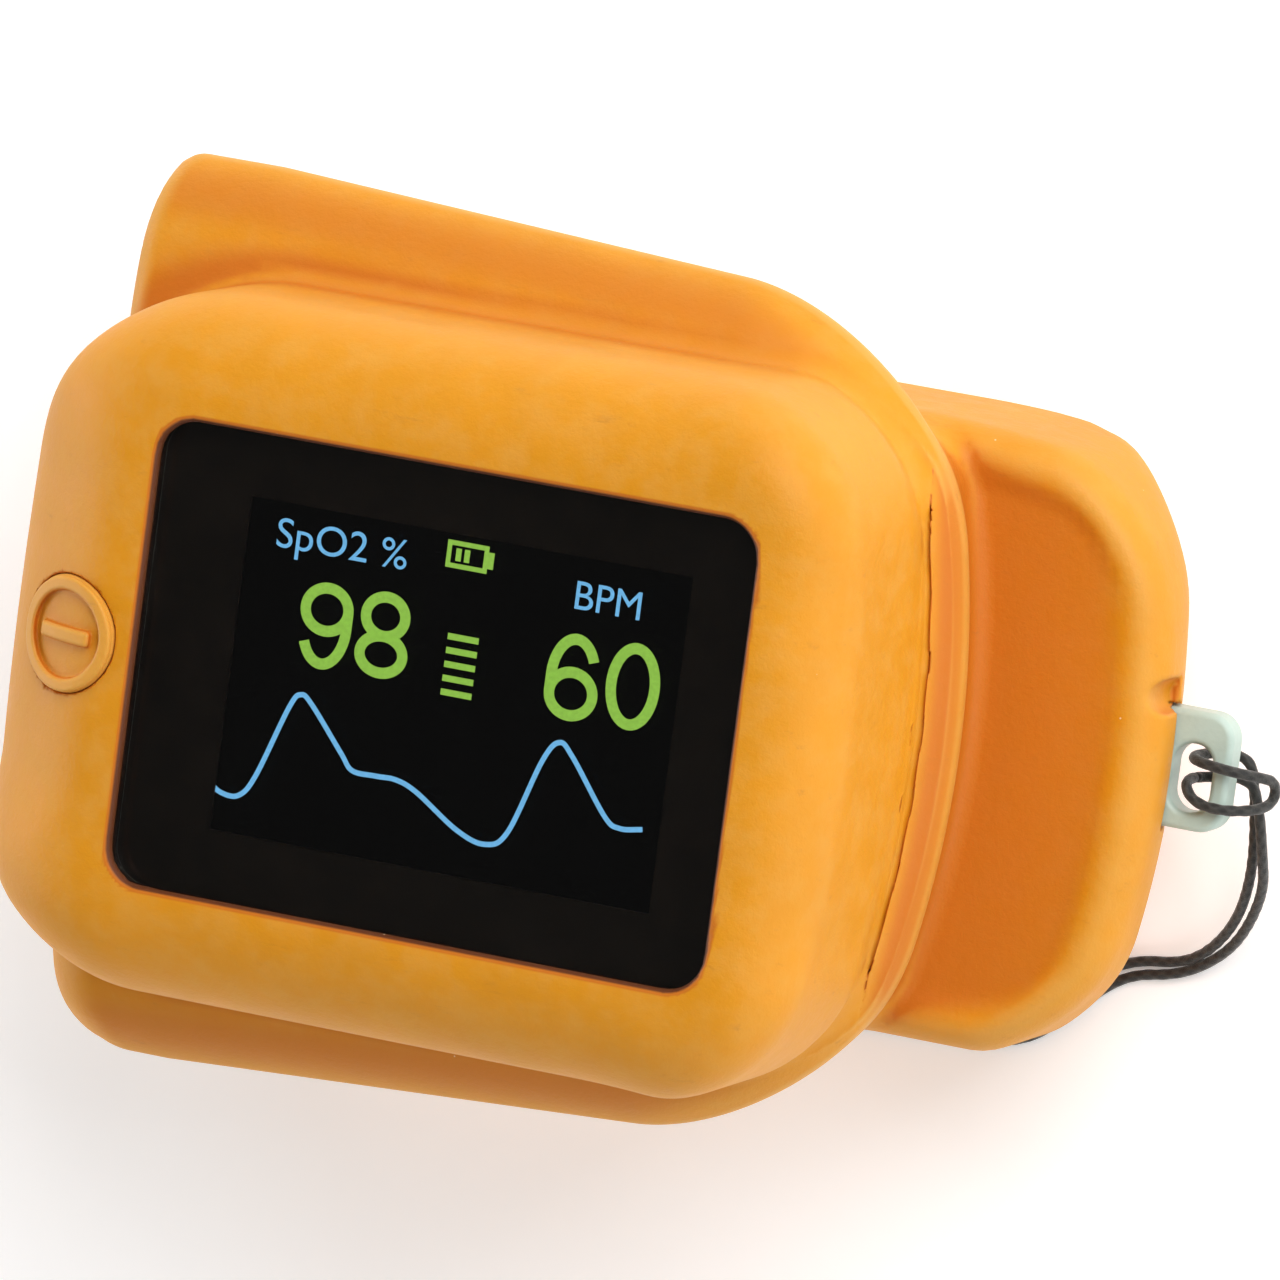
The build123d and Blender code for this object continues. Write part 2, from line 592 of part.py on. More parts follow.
# Inner shell of the lower jaw: plate and finger trough with its stop.
plate_low_z = LOWER_CASE_RIM_Z + 0.1
plate_high_z = plate_low_z + SHELL_PLATE
with BuildPart() as lower_inner_shell:
    with BuildSketch(Plane.XY.offset(plate_low_z)):
        add(rounded_plan(-29.3, SHELL_REAR_X, 14.6, 3.9, 0.5))
    extrude(amount=SHELL_PLATE)
    with BuildPart(mode=Mode.PRIVATE) as trough:
        add(tunnel_bar(PAD_THICKNESS + SHELL_THICKNESS, -28.0, arch_rear))
        add(slab(-40, 40, -20, 20, plate_high_z, 40), mode=Mode.SUBTRACT)
    add(trough.part)
    add(tunnel_bar(PAD_THICKNESS, -40, arch_rear - SHELL_THICKNESS), mode=Mode.SUBTRACT)
    for screw_x, screw_y in LOWER_SCREWS:
        add(upright_rod(screw_x, screw_y, 16, 18, 0.8), mode=Mode.SUBTRACT)
    add(slab(SENSOR_X - 2, SENSOR_X + 2, -1.6, 1.6, 12, 15), mode=Mode.SUBTRACT)
save(lower_inner_shell.part, "lower_inner_shell")

# Soft finger pad in the trough, with a hole over the light detector.
with BuildPart() as lower_finger_pad:
    add(tunnel_bar(PAD_THICKNESS - 0.03, FRONT_X + 0.1, TUNNEL_END_X + PAD_THICKNESS - 0.03))
    add(tunnel_bar(0, FRONT_X - 1, TUNNEL_END_X), mode=Mode.SUBTRACT)
    add(slab(-40, 40, -20, 20, 18.3, 40), mode=Mode.SUBTRACT)
    add(slab(SENSOR_X - 3, SENSOR_X + 3, -2.2, 2.2, 12, 16), mode=Mode.SUBTRACT)
save(lower_finger_pad.part, "lower_finger_pad")

# Clear cover, photodiode and its board, below the finger.
with BuildPart() as detector_window:
    add(slab(SENSOR_X - 2.9, SENSOR_X + 2.9, -2.1, 2.1, 14.1, 15.1))
    fillet(detector_window.edges().filter_by(Axis.Z), 0.5)
save(detector_window.part, "detector_window")

with BuildPart() as photodiode:
    add(slab(SENSOR_X - 1.9, SENSOR_X + 1.9, -1.4, 1.4, 12.65, 13.9))
    chamfer(photodiode.edges().group_by(Axis.Z)[-1], 0.15)
save(photodiode.part, "photodiode")

sensor_board_z = 12.1
with BuildPart() as sensor_board:
    add(slab(SENSOR_X - 4, SENSOR_X + 4, -2, 2, sensor_board_z, 12.65))
save(sensor_board.part, "sensor_board")

# Flat cable from the detector, between the cells and up past the hinge to the main board.
flex_thickness = 0.15
flex_rise_x = 6.0
with BuildPart() as sensor_flex:
    with BuildSketch(Plane.XZ):
        with BuildLine():
            Polyline(
                (SENSOR_X + 4, sensor_board_z),
                (flex_rise_x + flex_thickness, sensor_board_z),
                (flex_rise_x + flex_thickness, BOARD_Z - 0.1),
                (flex_rise_x, BOARD_Z - 0.1),
                (flex_rise_x, sensor_board_z + flex_thickness),
                (SENSOR_X + 4, sensor_board_z + flex_thickness),
                close=True,
            )
        make_face()
    extrude(amount=1, both=True)
save(sensor_flex.part, "sensor_flex")

save(screw_set(LOWER_SCREWS, plate_high_z, plate_high_z + 0.8, 10.0), "lower_screws")


def dry_cell(side, nub_in_front):
    """AAA cell along X with its raised terminal at one end."""
    nub_length = 0.8
    body_start = CELL_FRONT_X + (nub_length if nub_in_front else 0)
    nub_start = CELL_FRONT_X if nub_in_front else CELL_REAR_X - nub_length
    with BuildPart() as cell:
        with BuildSketch(Plane.YZ.offset(body_start)):
            with Locations((side * CELL_Y, CELL_Z)):
                Circle(CELL_RADIUS)
        extrude(amount=CELL_LENGTH - nub_length)
        fillet(cell.edges().filter_by(GeomType.CIRCLE), 0.4)
        with BuildSketch(Plane.YZ.offset(nub_start)):
            with Locations((side * CELL_Y, CELL_Z)):
                Circle(1.9)
        extrude(amount=nub_length)
    return cell.part


save(dry_cell(-1, True), "battery_1")
save(dry_cell(1, False), "battery_2")

# Sheet-metal contacts: a bridge across the front and one plate for each cell behind.
with BuildPart() as battery_contacts:
    add(slab(-28.0, -27.65, -8.6, 8.6, 4.0, 11.0))
    for side in (-1, 1):
        y_near = side * 1.6
        y_far = side * 9.2
        add(slab(19.95, 20.25, min(y_near, y_far), max(y_near, y_far), 5.4, 11.6))
save(battery_contacts.part, "battery_contacts")


def compression_spring(side):
    """Conical contact spring from the rear plate to the end of one cell."""
    wire = 0.3
    with BuildPart() as spring:
        with BuildLine():
            coil = Helix(
                pitch=0.85,
                height=2.2,
                radius=2.2,
                center=(19.6, side * CELL_Y, CELL_Z),
                direction=(-1, 0, 0),
                cone_angle=8,
            )
        with BuildSketch(Plane(origin=coil @ 0, z_dir=coil % 0)):
            Circle(wire)
        sweep()
    return spring.part


with BuildPart() as battery_springs:
    add(compression_spring(-1))
    add(compression_spring(1))
save(battery_springs.part, "battery_springs")

# Sliding door under the cells, with side rails, hooks and thumb ridges.
with BuildPart() as battery_door:
    with BuildSketch(Plane.XY.offset(0.5)):
        add(rounded_plan(DOOR_FRONT_X, DOOR_REAR_X, DOOR_HALF_WIDTH, 1.5, 1.5))
    extrude(amount=1.0)
    hook_low_z = BOOT_WALL + CASE_WALL + 0.15
    for side in (-1, 1):
        rail_in = side * 10.4
        rail_out = side * 11.0
        hook_out = side * 12.2
        add(slab(-27.4, 11.6, min(rail_in, rail_out), max(rail_in, rail_out), 1.4, 2.3))
        for hook_x in DOOR_HOOKS_X:
            add(slab(hook_x - 2, hook_x + 2, min(rail_in, rail_out), max(rail_in, rail_out), 1.4, hook_low_z + 0.6))
            add(
                slab(hook_x - 2, hook_x + 2, min(rail_in, hook_out), max(rail_in, hook_out), hook_low_z, hook_low_z + 0.6)
            )
    for step in range(5):
        ridge_x = -25.0 + 1.4 * step
        add(slab(ridge_x, ridge_x + 0.7, -5, 5, 0.25, 0.55))
save(battery_door.part, "battery_door")

# --- Hinge -------------------------------------------------------------------

with BuildPart() as hinge_pin:
    with BuildSketch(Plane.XZ.offset(-LOWER_EAR_Y[1])):
        with Locations((HINGE_X, HINGE_Z)):
            Circle(PIN_RADIUS)
    extrude(amount=2 * LOWER_EAR_Y[1])
    chamfer(hinge_pin.edges().filter_by(GeomType.CIRCLE), 0.2)
save(hinge_pin.part, "hinge_pin")


def torsion_spring(side):
    """One torsion spring round the pin, with a leg on each jaw."""
    wire = 0.32
    coil_radius = 1.75
    turns_height = 3.2
    leg = 3.2
    with BuildPart() as spring:
        with BuildLine() as path:
            coil = Helix(
                pitch=0.72,
                height=turns_height,
                radius=coil_radius,
                center=(HINGE_X, side * 6.6 - turns_height / 2, HINGE_Z),
                direction=(0, 1, 0),
            )
            Line(coil @ 0 - (coil % 0) * leg, coil @ 0)
            Line(coil @ 1, coil @ 1 + (coil % 1) * leg)
        start = path.wires()[0]
        with BuildSketch(Plane(origin=start @ 0, z_dir=start % 0)):
            Circle(wire)
        sweep(path=start)
    return spring.part


with BuildPart() as torsion_springs:
    add(torsion_spring(-1))
    add(torsion_spring(1))
save(torsion_springs.part, "torsion_springs")

# --- Lanyard -----------------------------------------------------------------

# Each strand is a list of route points; the cord hitches round the lug and lies on the floor.
CORD_A = [
    (28.10, -0.50, 9.60),
    (28.05, -0.45, 11.35),
    (28.75, -1.50, 11.50),
    (30.40, -1.70, 11.45),
    (31.95, -1.50, 10.30),
    (32.35, -1.10, 9.00),
    (32.40, 0.00, 9.30),
    (31.90, 0.25, 10.50),
    (30.50, 0.45, 11.65),
    (28.15, 0.70, 11.40),
    (28.10, 0.70, 8.30),
    (30.40, 0.90, 7.70),
    (30.75, -1.40, 7.30),
    (30.70, -4.60, 6.00),
    (29.90, -7.30, 4.00),
    (28.70, -9.30, 2.20),
    (27.20, -10.90, 1.00),
    (25.60, -11.80, 0.42),
    (23.30, -12.05, 0.35),
    (21.30, -13.05, 0.35),
    (19.30, -14.90, 0.35),
    (16.70, -17.00, 0.35),
    (12.60, -17.30, 0.35),
    (7.20, -17.35, 0.35),
    (1.00, -18.30, 0.35),
    (-6.00, -19.60, 0.35),
    (-13.00, -20.00, 0.35),
    (-20.00, -20.15, 0.50),
]
CORD_B = [
    (28.10, -0.50, 9.60),
    (28.10, -0.55, 8.60),
    (30.80, -0.10, 8.50),
    (31.35, -1.90, 8.10),
    (31.40, -4.50, 6.70),
    (31.20, -6.20, 5.20),
    (30.20, -8.30, 3.30),
    (28.80, -10.25, 1.60),
    (27.00, -11.70, 0.62),
    (25.30, -12.50, 0.40),
    (23.20, -12.85, 0.35),
    (21.60, -13.85, 0.35),
    (19.90, -15.65, 0.35),
    (17.40, -17.70, 0.35),
    (13.00, -18.05, 0.35),
    (7.40, -18.25, 0.35),
    (1.00, -19.40, 0.35),
    (-6.00, -20.90, 0.35),
    (-13.00, -21.30, 0.35),
    (-20.00, -21.25, 0.50),
]
ARC_SHARE = 0.45


def cord_radii(points):
    """Bend radius at each inner point, as large as its two runs allow."""
    route = [Vector(*point) for point in points]
    radii = []
    for before, here, after in zip(route, route[1:], route[2:]):
        arriving, leaving = here - before, after - here
        half_turn = math.radians(arriving.get_angle(leaving)) / 2
        radii.append(ARC_SHARE * min(arriving.length, leaving.length) / math.tan(half_turn))
    return radii


def cord_tube(points):
    """Round cord along straight runs joined by tangent arcs."""
    radii = cord_radii(points)
    with BuildPart() as tube:
        with BuildLine() as path:
            FilletPolyline(*points, radius=radii)
        route = path.wires()[0]
        with BuildSketch(Plane(origin=route @ 0, z_dir=route % 0)):
            Circle(CORD_RADIUS)
        sweep(path=route)
    print("cord length", round(route.length, 1), "radii", [round(radius, 1) for radius in radii])
    print("cord volume", round(tube.part.volume, 3), "of", round(math.pi * CORD_RADIUS**2 * route.length, 3))
    return tube.part


save(cord_tube(CORD_A), "lanyard_cord_a")
save(cord_tube(CORD_B), "lanyard_cord_b")

# Moulded connector that clips the two strands to a neck strap.
connector_face_x = CORD_A[-1][0]
with BuildPart() as lanyard_connector:
    add(slab(connector_face_x - 7.0, connector_face_x, -22.3, -19.1, 0, 1.8))
    fillet(lanyard_connector.edges().filter_by(Axis.Z), 0.8)
    with BuildSketch(Plane.XY.offset(1.8)):
        with Locations((connector_face_x - 5.2, -20.7)):
            SlotOverall(2.4, 1.2, rotation=90)
    extrude(amount=-1.8, mode=Mode.SUBTRACT)
save(lanyard_connector.part, "lanyard_connector")
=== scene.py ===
import math
import json

import bpy
import numpy as np
from mathutils import Matrix, Vector


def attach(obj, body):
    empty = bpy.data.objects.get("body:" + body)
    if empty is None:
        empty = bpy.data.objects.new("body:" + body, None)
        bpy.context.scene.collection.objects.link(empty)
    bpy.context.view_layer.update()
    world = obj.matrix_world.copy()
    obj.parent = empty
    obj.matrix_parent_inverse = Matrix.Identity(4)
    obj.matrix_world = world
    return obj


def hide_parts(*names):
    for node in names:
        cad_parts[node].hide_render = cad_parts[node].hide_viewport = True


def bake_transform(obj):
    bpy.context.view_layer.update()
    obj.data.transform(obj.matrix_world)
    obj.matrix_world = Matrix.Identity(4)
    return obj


# Fingertip pulse oximeter in a silicone boot. Everything is in the CAD part's frame, in metres:
# +X to the rear (lanyard end), +Z up to the display. Shapes worked out in millimetres say so.

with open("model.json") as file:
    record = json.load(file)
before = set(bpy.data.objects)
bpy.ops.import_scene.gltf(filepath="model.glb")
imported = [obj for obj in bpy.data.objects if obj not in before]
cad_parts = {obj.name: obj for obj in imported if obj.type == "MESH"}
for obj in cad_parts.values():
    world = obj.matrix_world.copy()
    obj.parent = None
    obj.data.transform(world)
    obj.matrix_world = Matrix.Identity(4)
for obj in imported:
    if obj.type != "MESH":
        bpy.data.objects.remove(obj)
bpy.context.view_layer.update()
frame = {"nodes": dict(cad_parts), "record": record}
MM = 0.001


# ---------------------------------------------------------------- camera
CAMERA_PLACE = (0.2472, 0.1022, 0.6714)
CAMERA_RIGHT = (0.92061, 0.12949, -0.36838)
CAMERA_UP = (-0.17191, 0.98147, -0.08462)
CAMERA_BACK = (0.35059, 0.14123, 0.92582)
LENS_MM = 381.9
SENSOR_MM = 36.0

camera_data = bpy.data.cameras.new("camera")
camera_data.lens = LENS_MM
camera_data.sensor_width = SENSOR_MM
camera_data.clip_start = 0.01
camera = bpy.data.objects.new("camera", camera_data)
bpy.context.scene.collection.objects.link(camera)
axes = Matrix((CAMERA_RIGHT, CAMERA_UP, CAMERA_BACK)).transposed()
camera.matrix_world = Matrix.Translation(CAMERA_PLACE) @ axes.to_4x4()
bpy.context.scene.camera = camera
bpy.context.scene.view_settings.view_transform = "Standard"


# ---------------------------------------------------------------- node helpers
# Sockets of the Mix node that take part when it mixes colours.
MIX_FACTOR, MIX_COLOUR_A, MIX_COLOUR_B, MIX_COLOUR_OUT = 0, 6, 7, 2


def new_material(name):
    """A new node material, with its tree and its Principled shader."""
    made = bpy.data.materials.new(name)
    made.use_nodes = True
    tree = made.node_tree
    return made, tree, tree.nodes["Principled BSDF"]


def add_node(tree, kind, inputs=None, **settings):
    """Adds a node, sets its options, and fills or links its inputs."""
    node = tree.nodes.new(kind)
    for key, value in settings.items():
        setattr(node, key, value)
    for key, value in (inputs or {}).items():
        if isinstance(value, bpy.types.NodeSocket):
            tree.links.new(value, node.inputs[key])
        else:
            node.inputs[key].default_value = value
    return node


def noise(tree, place, scale, detail=3.0, rough=0.55, stretch=None):
    """Noise over a place vector, with the size of its blobs given by scale per metre."""
    if stretch:
        place = add_node(tree, "ShaderNodeMapping", {"Vector": place, "Scale": stretch}).outputs[0]
    inputs = {"Vector": place, "Scale": scale, "Detail": detail, "Roughness": rough}
    return add_node(tree, "ShaderNodeTexNoise", inputs).outputs["Fac"]


def spread(tree, value, low, high, out_low=0.0, out_high=1.0):
    """Maps a range of a value onto another, smoothly and clamped."""
    made = add_node(
        tree,
        "ShaderNodeMapRange",
        {"Value": value, "From Min": low, "From Max": high, "To Min": out_low, "To Max": out_high},
        interpolation_type="SMOOTHSTEP",
    )
    return made.outputs["Result"]


def blend_colour(tree, factor, first, second):
    """Mixes two colours, each a socket or an RGBA tuple."""
    inputs = {MIX_FACTOR: factor, MIX_COLOUR_A: first, MIX_COLOUR_B: second}
    return add_node(tree, "ShaderNodeMix", inputs, data_type="RGBA").outputs[MIX_COLOUR_OUT]


def bump(tree, height, depth, below=None):
    """Bump of a height of 0 to 1 over a depth in metres, on top of another bump."""
    inputs = {"Height": height, "Distance": depth, "Strength": 1.0}
    if below is not None:
        inputs["Normal"] = below
    return add_node(tree, "ShaderNodeBump", inputs).outputs["Normal"]


def scaled(colour, share):
    """A colour made lighter or darker."""
    return tuple(c * share for c in colour[:3]) + (1.0,)


def moulded(
    name, colour, rough, metal=0.0, grain=2500.0, depth=0.00001, mottle=0.1, wear=0.06,
    stretch=None, specular=0.5,
):
    """Moulded, plated or brushed finish: mottled colour, uneven gloss and a fine grain."""
    made, tree, shader = new_material(name)
    place = add_node(tree, "ShaderNodeTexCoord").outputs["Object"]
    broad = noise(tree, place, grain * 0.08, 4.0)
    fine = noise(tree, place, grain, 2.0, stretch=stretch)
    dark, light = scaled(colour, 1 - mottle), scaled(colour, 1 + mottle)
    tint = blend_colour(tree, spread(tree, broad, 0.3, 0.7), dark, light)
    worn = spread(tree, fine, 0.35, 0.65, 0.0, wear * 4)
    tint = blend_colour(tree, worn, tint, scaled(colour, 1 + 2 * wear))
    tree.links.new(tint, shader.inputs["Base Color"])
    tree.links.new(spread(tree, broad, 0.25, 0.75, rough - wear, rough + wear), shader.inputs["Roughness"])
    tree.links.new(bump(tree, fine, depth), shader.inputs["Normal"])
    shader.inputs["Metallic"].default_value = metal
    shader.inputs["Specular IOR Level"].default_value = specular
    return made


def mesh_piece(name, points_mm, faces, smooth=True):
    """A mesh object from points in millimetres."""
    mesh = bpy.data.meshes.new(name)
    mesh.from_pydata((np.asarray(points_mm) * MM).tolist(), [], faces)
    mesh.validate()
    for face in mesh.polygons:
        face.use_smooth = smooth
    made = bpy.data.objects.new(name, mesh)
    bpy.context.scene.collection.objects.link(made)
    return made


# ---------------------------------------------------------------- lanyard cord
CORD_DIAMETER = 0.0006
CORD_STEP = 0.00009
CORD_SIDES = 20
BRAID_PITCH = 0.0034
BRAID_VALLEY = 0.84
BRAID_RELIEF = 0.16
ROUTE_RESOLUTION = 24
CORD_A_LENGTH = 0.0825
CORD_B_LENGTH = 0.0682
# Control points of the two strands, in millimetres, from the lug's eye to the connector.
CORD_A = [
    (28.10, -0.50, 9.60), (28.05, -0.45, 11.35), (28.75, -1.50, 11.50), (30.40, -1.70, 11.45),
    (31.95, -1.50, 10.30), (32.35, -1.10, 9.00), (32.40, 0.00, 9.30), (31.90, 0.25, 10.50),
    (30.50, 0.45, 11.65), (28.15, 0.70, 11.40), (28.10, 0.70, 8.30), (30.40, 0.90, 7.70),
    (30.75, -1.40, 7.30), (30.70, -4.60, 6.00), (29.90, -7.30, 4.00), (28.70, -9.30, 2.20),
    (27.20, -10.90, 1.00), (25.60, -11.80, 0.42), (23.30, -12.05, 0.35), (21.30, -13.05, 0.35),
    (19.30, -14.90, 0.35), (16.70, -17.00, 0.35), (12.60, -17.30, 0.35), (7.20, -17.35, 0.35),
    (1.00, -18.30, 0.35), (-6.00, -19.60, 0.35), (-13.00, -20.00, 0.35), (-20.00, -20.15, 0.50),
]
CORD_B = [
    (28.10, -0.50, 9.60), (28.10, -0.55, 8.60), (30.80, -0.10, 8.50), (31.35, -1.90, 8.10),
    (31.40, -4.50, 6.70), (31.20, -6.20, 5.20), (30.20, -8.30, 3.30), (28.80, -10.25, 1.60),
    (27.00, -11.70, 0.62), (25.30, -12.50, 0.40), (23.20, -12.85, 0.35), (21.60, -13.85, 0.35),
    (19.90, -15.65, 0.35), (17.40, -17.70, 0.35), (13.00, -18.05, 0.35), (7.40, -18.25, 0.35),
    (1.00, -19.40, 0.35), (-6.00, -20.90, 0.35), (-13.00, -21.30, 0.35), (-20.00, -21.25, 0.50),
]


def cord_line(route_mm):
    """Points that a smooth NURBS line with the route as its control points passes through."""
    curve = bpy.data.curves.new("route", "CURVE")
    curve.dimensions = "3D"
    spline = curve.splines.new("NURBS")
    spline.points.add(len(route_mm) - 1)
    for point, place in zip(spline.points, route_mm):
        point.co = (*(c * MM for c in place), 1.0)
    spline.order_u = 3
    spline.use_endpoint_u = True
    spline.resolution_u = ROUTE_RESOLUTION
    holder = bpy.data.objects.new("route", curve)
    bpy.context.scene.collection.objects.link(holder)
    mesh = bpy.data.meshes.new_from_object(holder)
    line = np.array([v.co for v in mesh.vertices], float)
    bpy.data.objects.remove(holder)
    bpy.data.meshes.remove(mesh)
    return line


def even_steps(line, step):
    """The same line with its points an even step apart, and how far along each is."""
    along = np.concatenate([[0], np.cumsum(np.linalg.norm(np.diff(line, axis=0), axis=1))])
    count = max(int(round(along[-1] / step)), 8)
    at = np.linspace(0, along[-1], count + 1)
    return np.stack([np.interp(at, along, line[:, k]) for k in range(3)], axis=1), at


def braided_cord(name, route_mm):
    """Braided sleeve round the route, as a closed tube, and the line that it follows."""
    line, at = even_steps(cord_line(route_mm), CORD_STEP)
    tangent = np.gradient(line, axis=0)
    tangent /= np.linalg.norm(tangent, axis=1)[:, None]
    side = np.cross(tangent[0], (0.3, 1.0, 0.2))
    sides = []
    for t in tangent:
        side = side - t * np.dot(side, t)
        side = side / np.linalg.norm(side)
        sides.append(side)
    sides = np.array(sides)
    other = np.cross(tangent, sides)
    angle = np.linspace(0, 2 * math.pi, CORD_SIDES, endpoint=False)
    turn, run = np.meshgrid(angle, at)
    pitch = 2 * math.pi / BRAID_PITCH
    one = np.cos(2 * (turn + pitch * run)) ** 2
    two = np.cos(2 * (turn - pitch * run)) ** 2
    over = 0.5 + 0.5 * np.sin(4 * turn) * np.sin(4 * pitch * run)
    height = np.maximum(one * (0.65 + 0.35 * over), two * (1.0 - 0.35 * over))
    radius = CORD_DIAMETER / 2 * (BRAID_VALLEY + BRAID_RELIEF * height)
    taper = np.clip(np.minimum(at, at[-1] - at) / (0.4 * CORD_DIAMETER), 0.0, 1.0)
    radius *= np.sqrt(1 - (1 - taper[:, None]) ** 2) * 0.75 + 0.25
    ring = np.cos(turn)[..., None] * sides[:, None] + np.sin(turn)[..., None] * other[:, None]
    points = (line[:, None] + ring * radius[..., None]).reshape(-1, 3)
    rows, n = len(line), CORD_SIDES
    faces = []
    for i in range(rows - 1):
        for j in range(n):
            k = (j + 1) % n
            faces.append((i * n + j, i * n + k, (i + 1) * n + k, (i + 1) * n + j))
    faces.append(tuple(range(n - 1, -1, -1)))
    faces.append(tuple(range((rows - 1) * n, rows * n)))
    made = mesh_piece(name, points / MM, faces)
    strand = made.data.attributes.new("strand", "FLOAT", "POINT")
    strand.data.foreach_set("value", height.reshape(-1).astype(np.float32))
    return made, line


cord_a, line_a = braided_cord("lanyard_loop_long", CORD_A)
cord_b, line_b = braided_cord("lanyard_loop_short", CORD_B)
for cord, line, length, node in (
    (cord_a, line_a, CORD_A_LENGTH, "lanyard_cord_a"),
    (cord_b, line_b, CORD_B_LENGTH, "lanyard_cord_b"),
):
    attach(cord, "lower_jaw")
    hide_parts(node)


# ---------------------------------------------------------------- moulded silicone, in millimetres
# Each shape is a signed distance: negative inside. Surfaces join with rounded unions.
WALL = 1.6
FRONT_X = -31.0
NORMAL_REACH = 0.03
BEND_REACH = 0.7
# How far out the painted shade looks for walls that enclose a point.
PAINTED_SHADE_REACHES = (1.5, 3.5, 7.0)

# Hump: the upper block with the display.
TOP_Z = 36.0
HUMP_REAR_X = 16.8
HUMP_HALF = 18.5
HUMP_FRONT_CORNER_LEFT = 11.5
HUMP_FRONT_CORNER_RIGHT = 10.0
HUMP_REAR_CORNER = 7.5
REAR_BOW = 1.3
BOW_HALF = 13

# Flange: the folded rim round the sides.
CREST_Z = 19.0
CREST_HALF = 24.1
CREST_REAR_X = 18.6
CREST_REAR_CORNER = 11.4
CREST_FRONT_LEFT_X = -28.7
CREST_FRONT_RIGHT_X = -29.0
CREST_BOW = 1.54
CREST_RISE = 4.6
CREST_FADE = 2.3
CREST_UNDERCUT = 1.05
CORE_HALF = 14.5
CORE_REAR_X = 5

# Tub: the lower block, its rear platform and its heel.
REAR_X = 27.4
TUB_HALF = 16.3
TUB_TOP_Z = 15.0
TUB_FRONT_CORNER = 5.6
TUB_REAR_CORNER_LEFT = 6.5
TUB_REAR_CORNER_RIGHT = 6.9
PANEL_DEPTH = 0.6
HEEL_X = 18.0
HEEL_SLOPE = 0.714
HEEL_SLANT = 1.229
NECK_REAR_X = 17.1
NECK_HALF = 15.9
NECK_LOW_Z = 6.0
NECK_HIGH_Z = 19.5

# Openings.
WINDOW_X = -4.4
WINDOW_HALF_LENGTH = 16.7
WINDOW_HALF_WIDTH = 12.28
WINDOW_CORNER = 2.0
WINDOW_LOW_Z = 25
BUTTON_X = -25.1
BUTTON_RADIUS = 3.05
BUTTON_HOLE_RADIUS = 3.09
BUTTON_HOLE_LOW_Z = 24
TUNNEL_Z = 20.2
TUNNEL_HALF_WIDTH = 9.9
TUNNEL_HALF_HEIGHT = 6.4
TUNNEL_END_X = -27
PARTING_GAP = 0.3
PARTING_END_X = -28.8
PARTING_HALF = 17.5
SLIT_X = 16.93
SLIT_Z = 20.6
SLIT_HALF_HEIGHT = 1.6
SLIT_HALF_LENGTH = 13.3
SLIT_DEPTH = 0.28
NOTCH_X, NOTCH_Y = 27.5, 3.9
NOTCH_RADIUS = 1.0
NOTCH_LOW_Z = 10.9
DOOR_FRONT_X = -28.4
DOOR_REAR_X = 23.4
DOOR_HALF = 12.0
DOOR_CORNER = 0.6
DOOR_TOP_Z = 1.72
LUG_FRONT_X = 25
LUG_Z = 10
LUG_HALF_WIDTH = 3.3
LUG_HALF_HEIGHT = 1.1

# Button pad: a disc with a raised ring and bar.
RING_RADIUS = 2.66
RING_HALF_WIDTH = 0.37
BAR_HALF_LENGTH = 1.7
BAR_HALF_WIDTH = 0.4
RING_RISE = 0.42
PAD_THICKNESS = 1.4


def smoothstep(low, high, value):
    """0 below low, 1 above high, and smooth between them."""
    t = np.clip((value - low) / (high - low), 0.0, 1.0)
    return t * t * (3 - 2 * t)


def meet(a, b, radius):
    """Overlap of two shapes with its outer edge rounded."""
    over_a, over_b = np.maximum(a + radius, 0), np.maximum(b + radius, 0)
    return np.minimum(-radius, np.maximum(a, b)) + np.hypot(over_a, over_b)


def join(a, b, radius):
    """Union of two shapes with a fillet where they meet."""
    return -meet(-a, -b, radius)


def plan_box(x, y, x_low, x_high, half, front_corner, rear_corner):
    """Rounded rectangle in plan."""
    middle, reach = (x_low + x_high) / 2, (x_high - x_low) / 2
    corner = np.where(x < middle, front_corner, rear_corner)
    over_x, over_y = np.abs(x - middle) - reach + corner, np.abs(y) - half + corner
    outside = np.hypot(np.maximum(over_x, 0), np.maximum(over_y, 0))
    return np.minimum(np.maximum(over_x, over_y), 0) + outside - corner


def by_side(y, left, right):
    """One value on the side of positive y and another on the other."""
    return np.where(y > 0, left, right)


def rear_bow(y):
    """How far the hump's rear wall and its slit lie forward of their middle."""
    return REAR_BOW * (y / BOW_HALF) ** 2


def hump_shape(x, y, z):
    """Upper block: bowed front and rear walls, a long round brow and softer sides."""
    rear = rear_bow(y) * smoothstep(0, 14, x) * (1 - 0.6 * smoothstep(21.5, 25, z))
    bow = rear - 0.8 * (y / HUMP_HALF) ** 2 * (1 - smoothstep(-26, -10, x))
    across = x + bow
    front_corner = by_side(y, HUMP_FRONT_CORNER_LEFT, HUMP_FRONT_CORNER_RIGHT)
    plan = plan_box(across, y, FRONT_X, HUMP_REAR_X, HUMP_HALF, front_corner, HUMP_REAR_CORNER)
    brow = 1 - smoothstep(-27, -16, across)
    corner = smoothstep(7, 15, np.abs(y)) * (brow + 0.3 * smoothstep(4, 15, across))
    edge = 6.0 + 4.0 * brow - 1.0 * smoothstep(6, 15, across) - 3.8 * corner
    block = meet(plan, z - TOP_Z, edge)
    return np.maximum(block, CREST_Z - z)


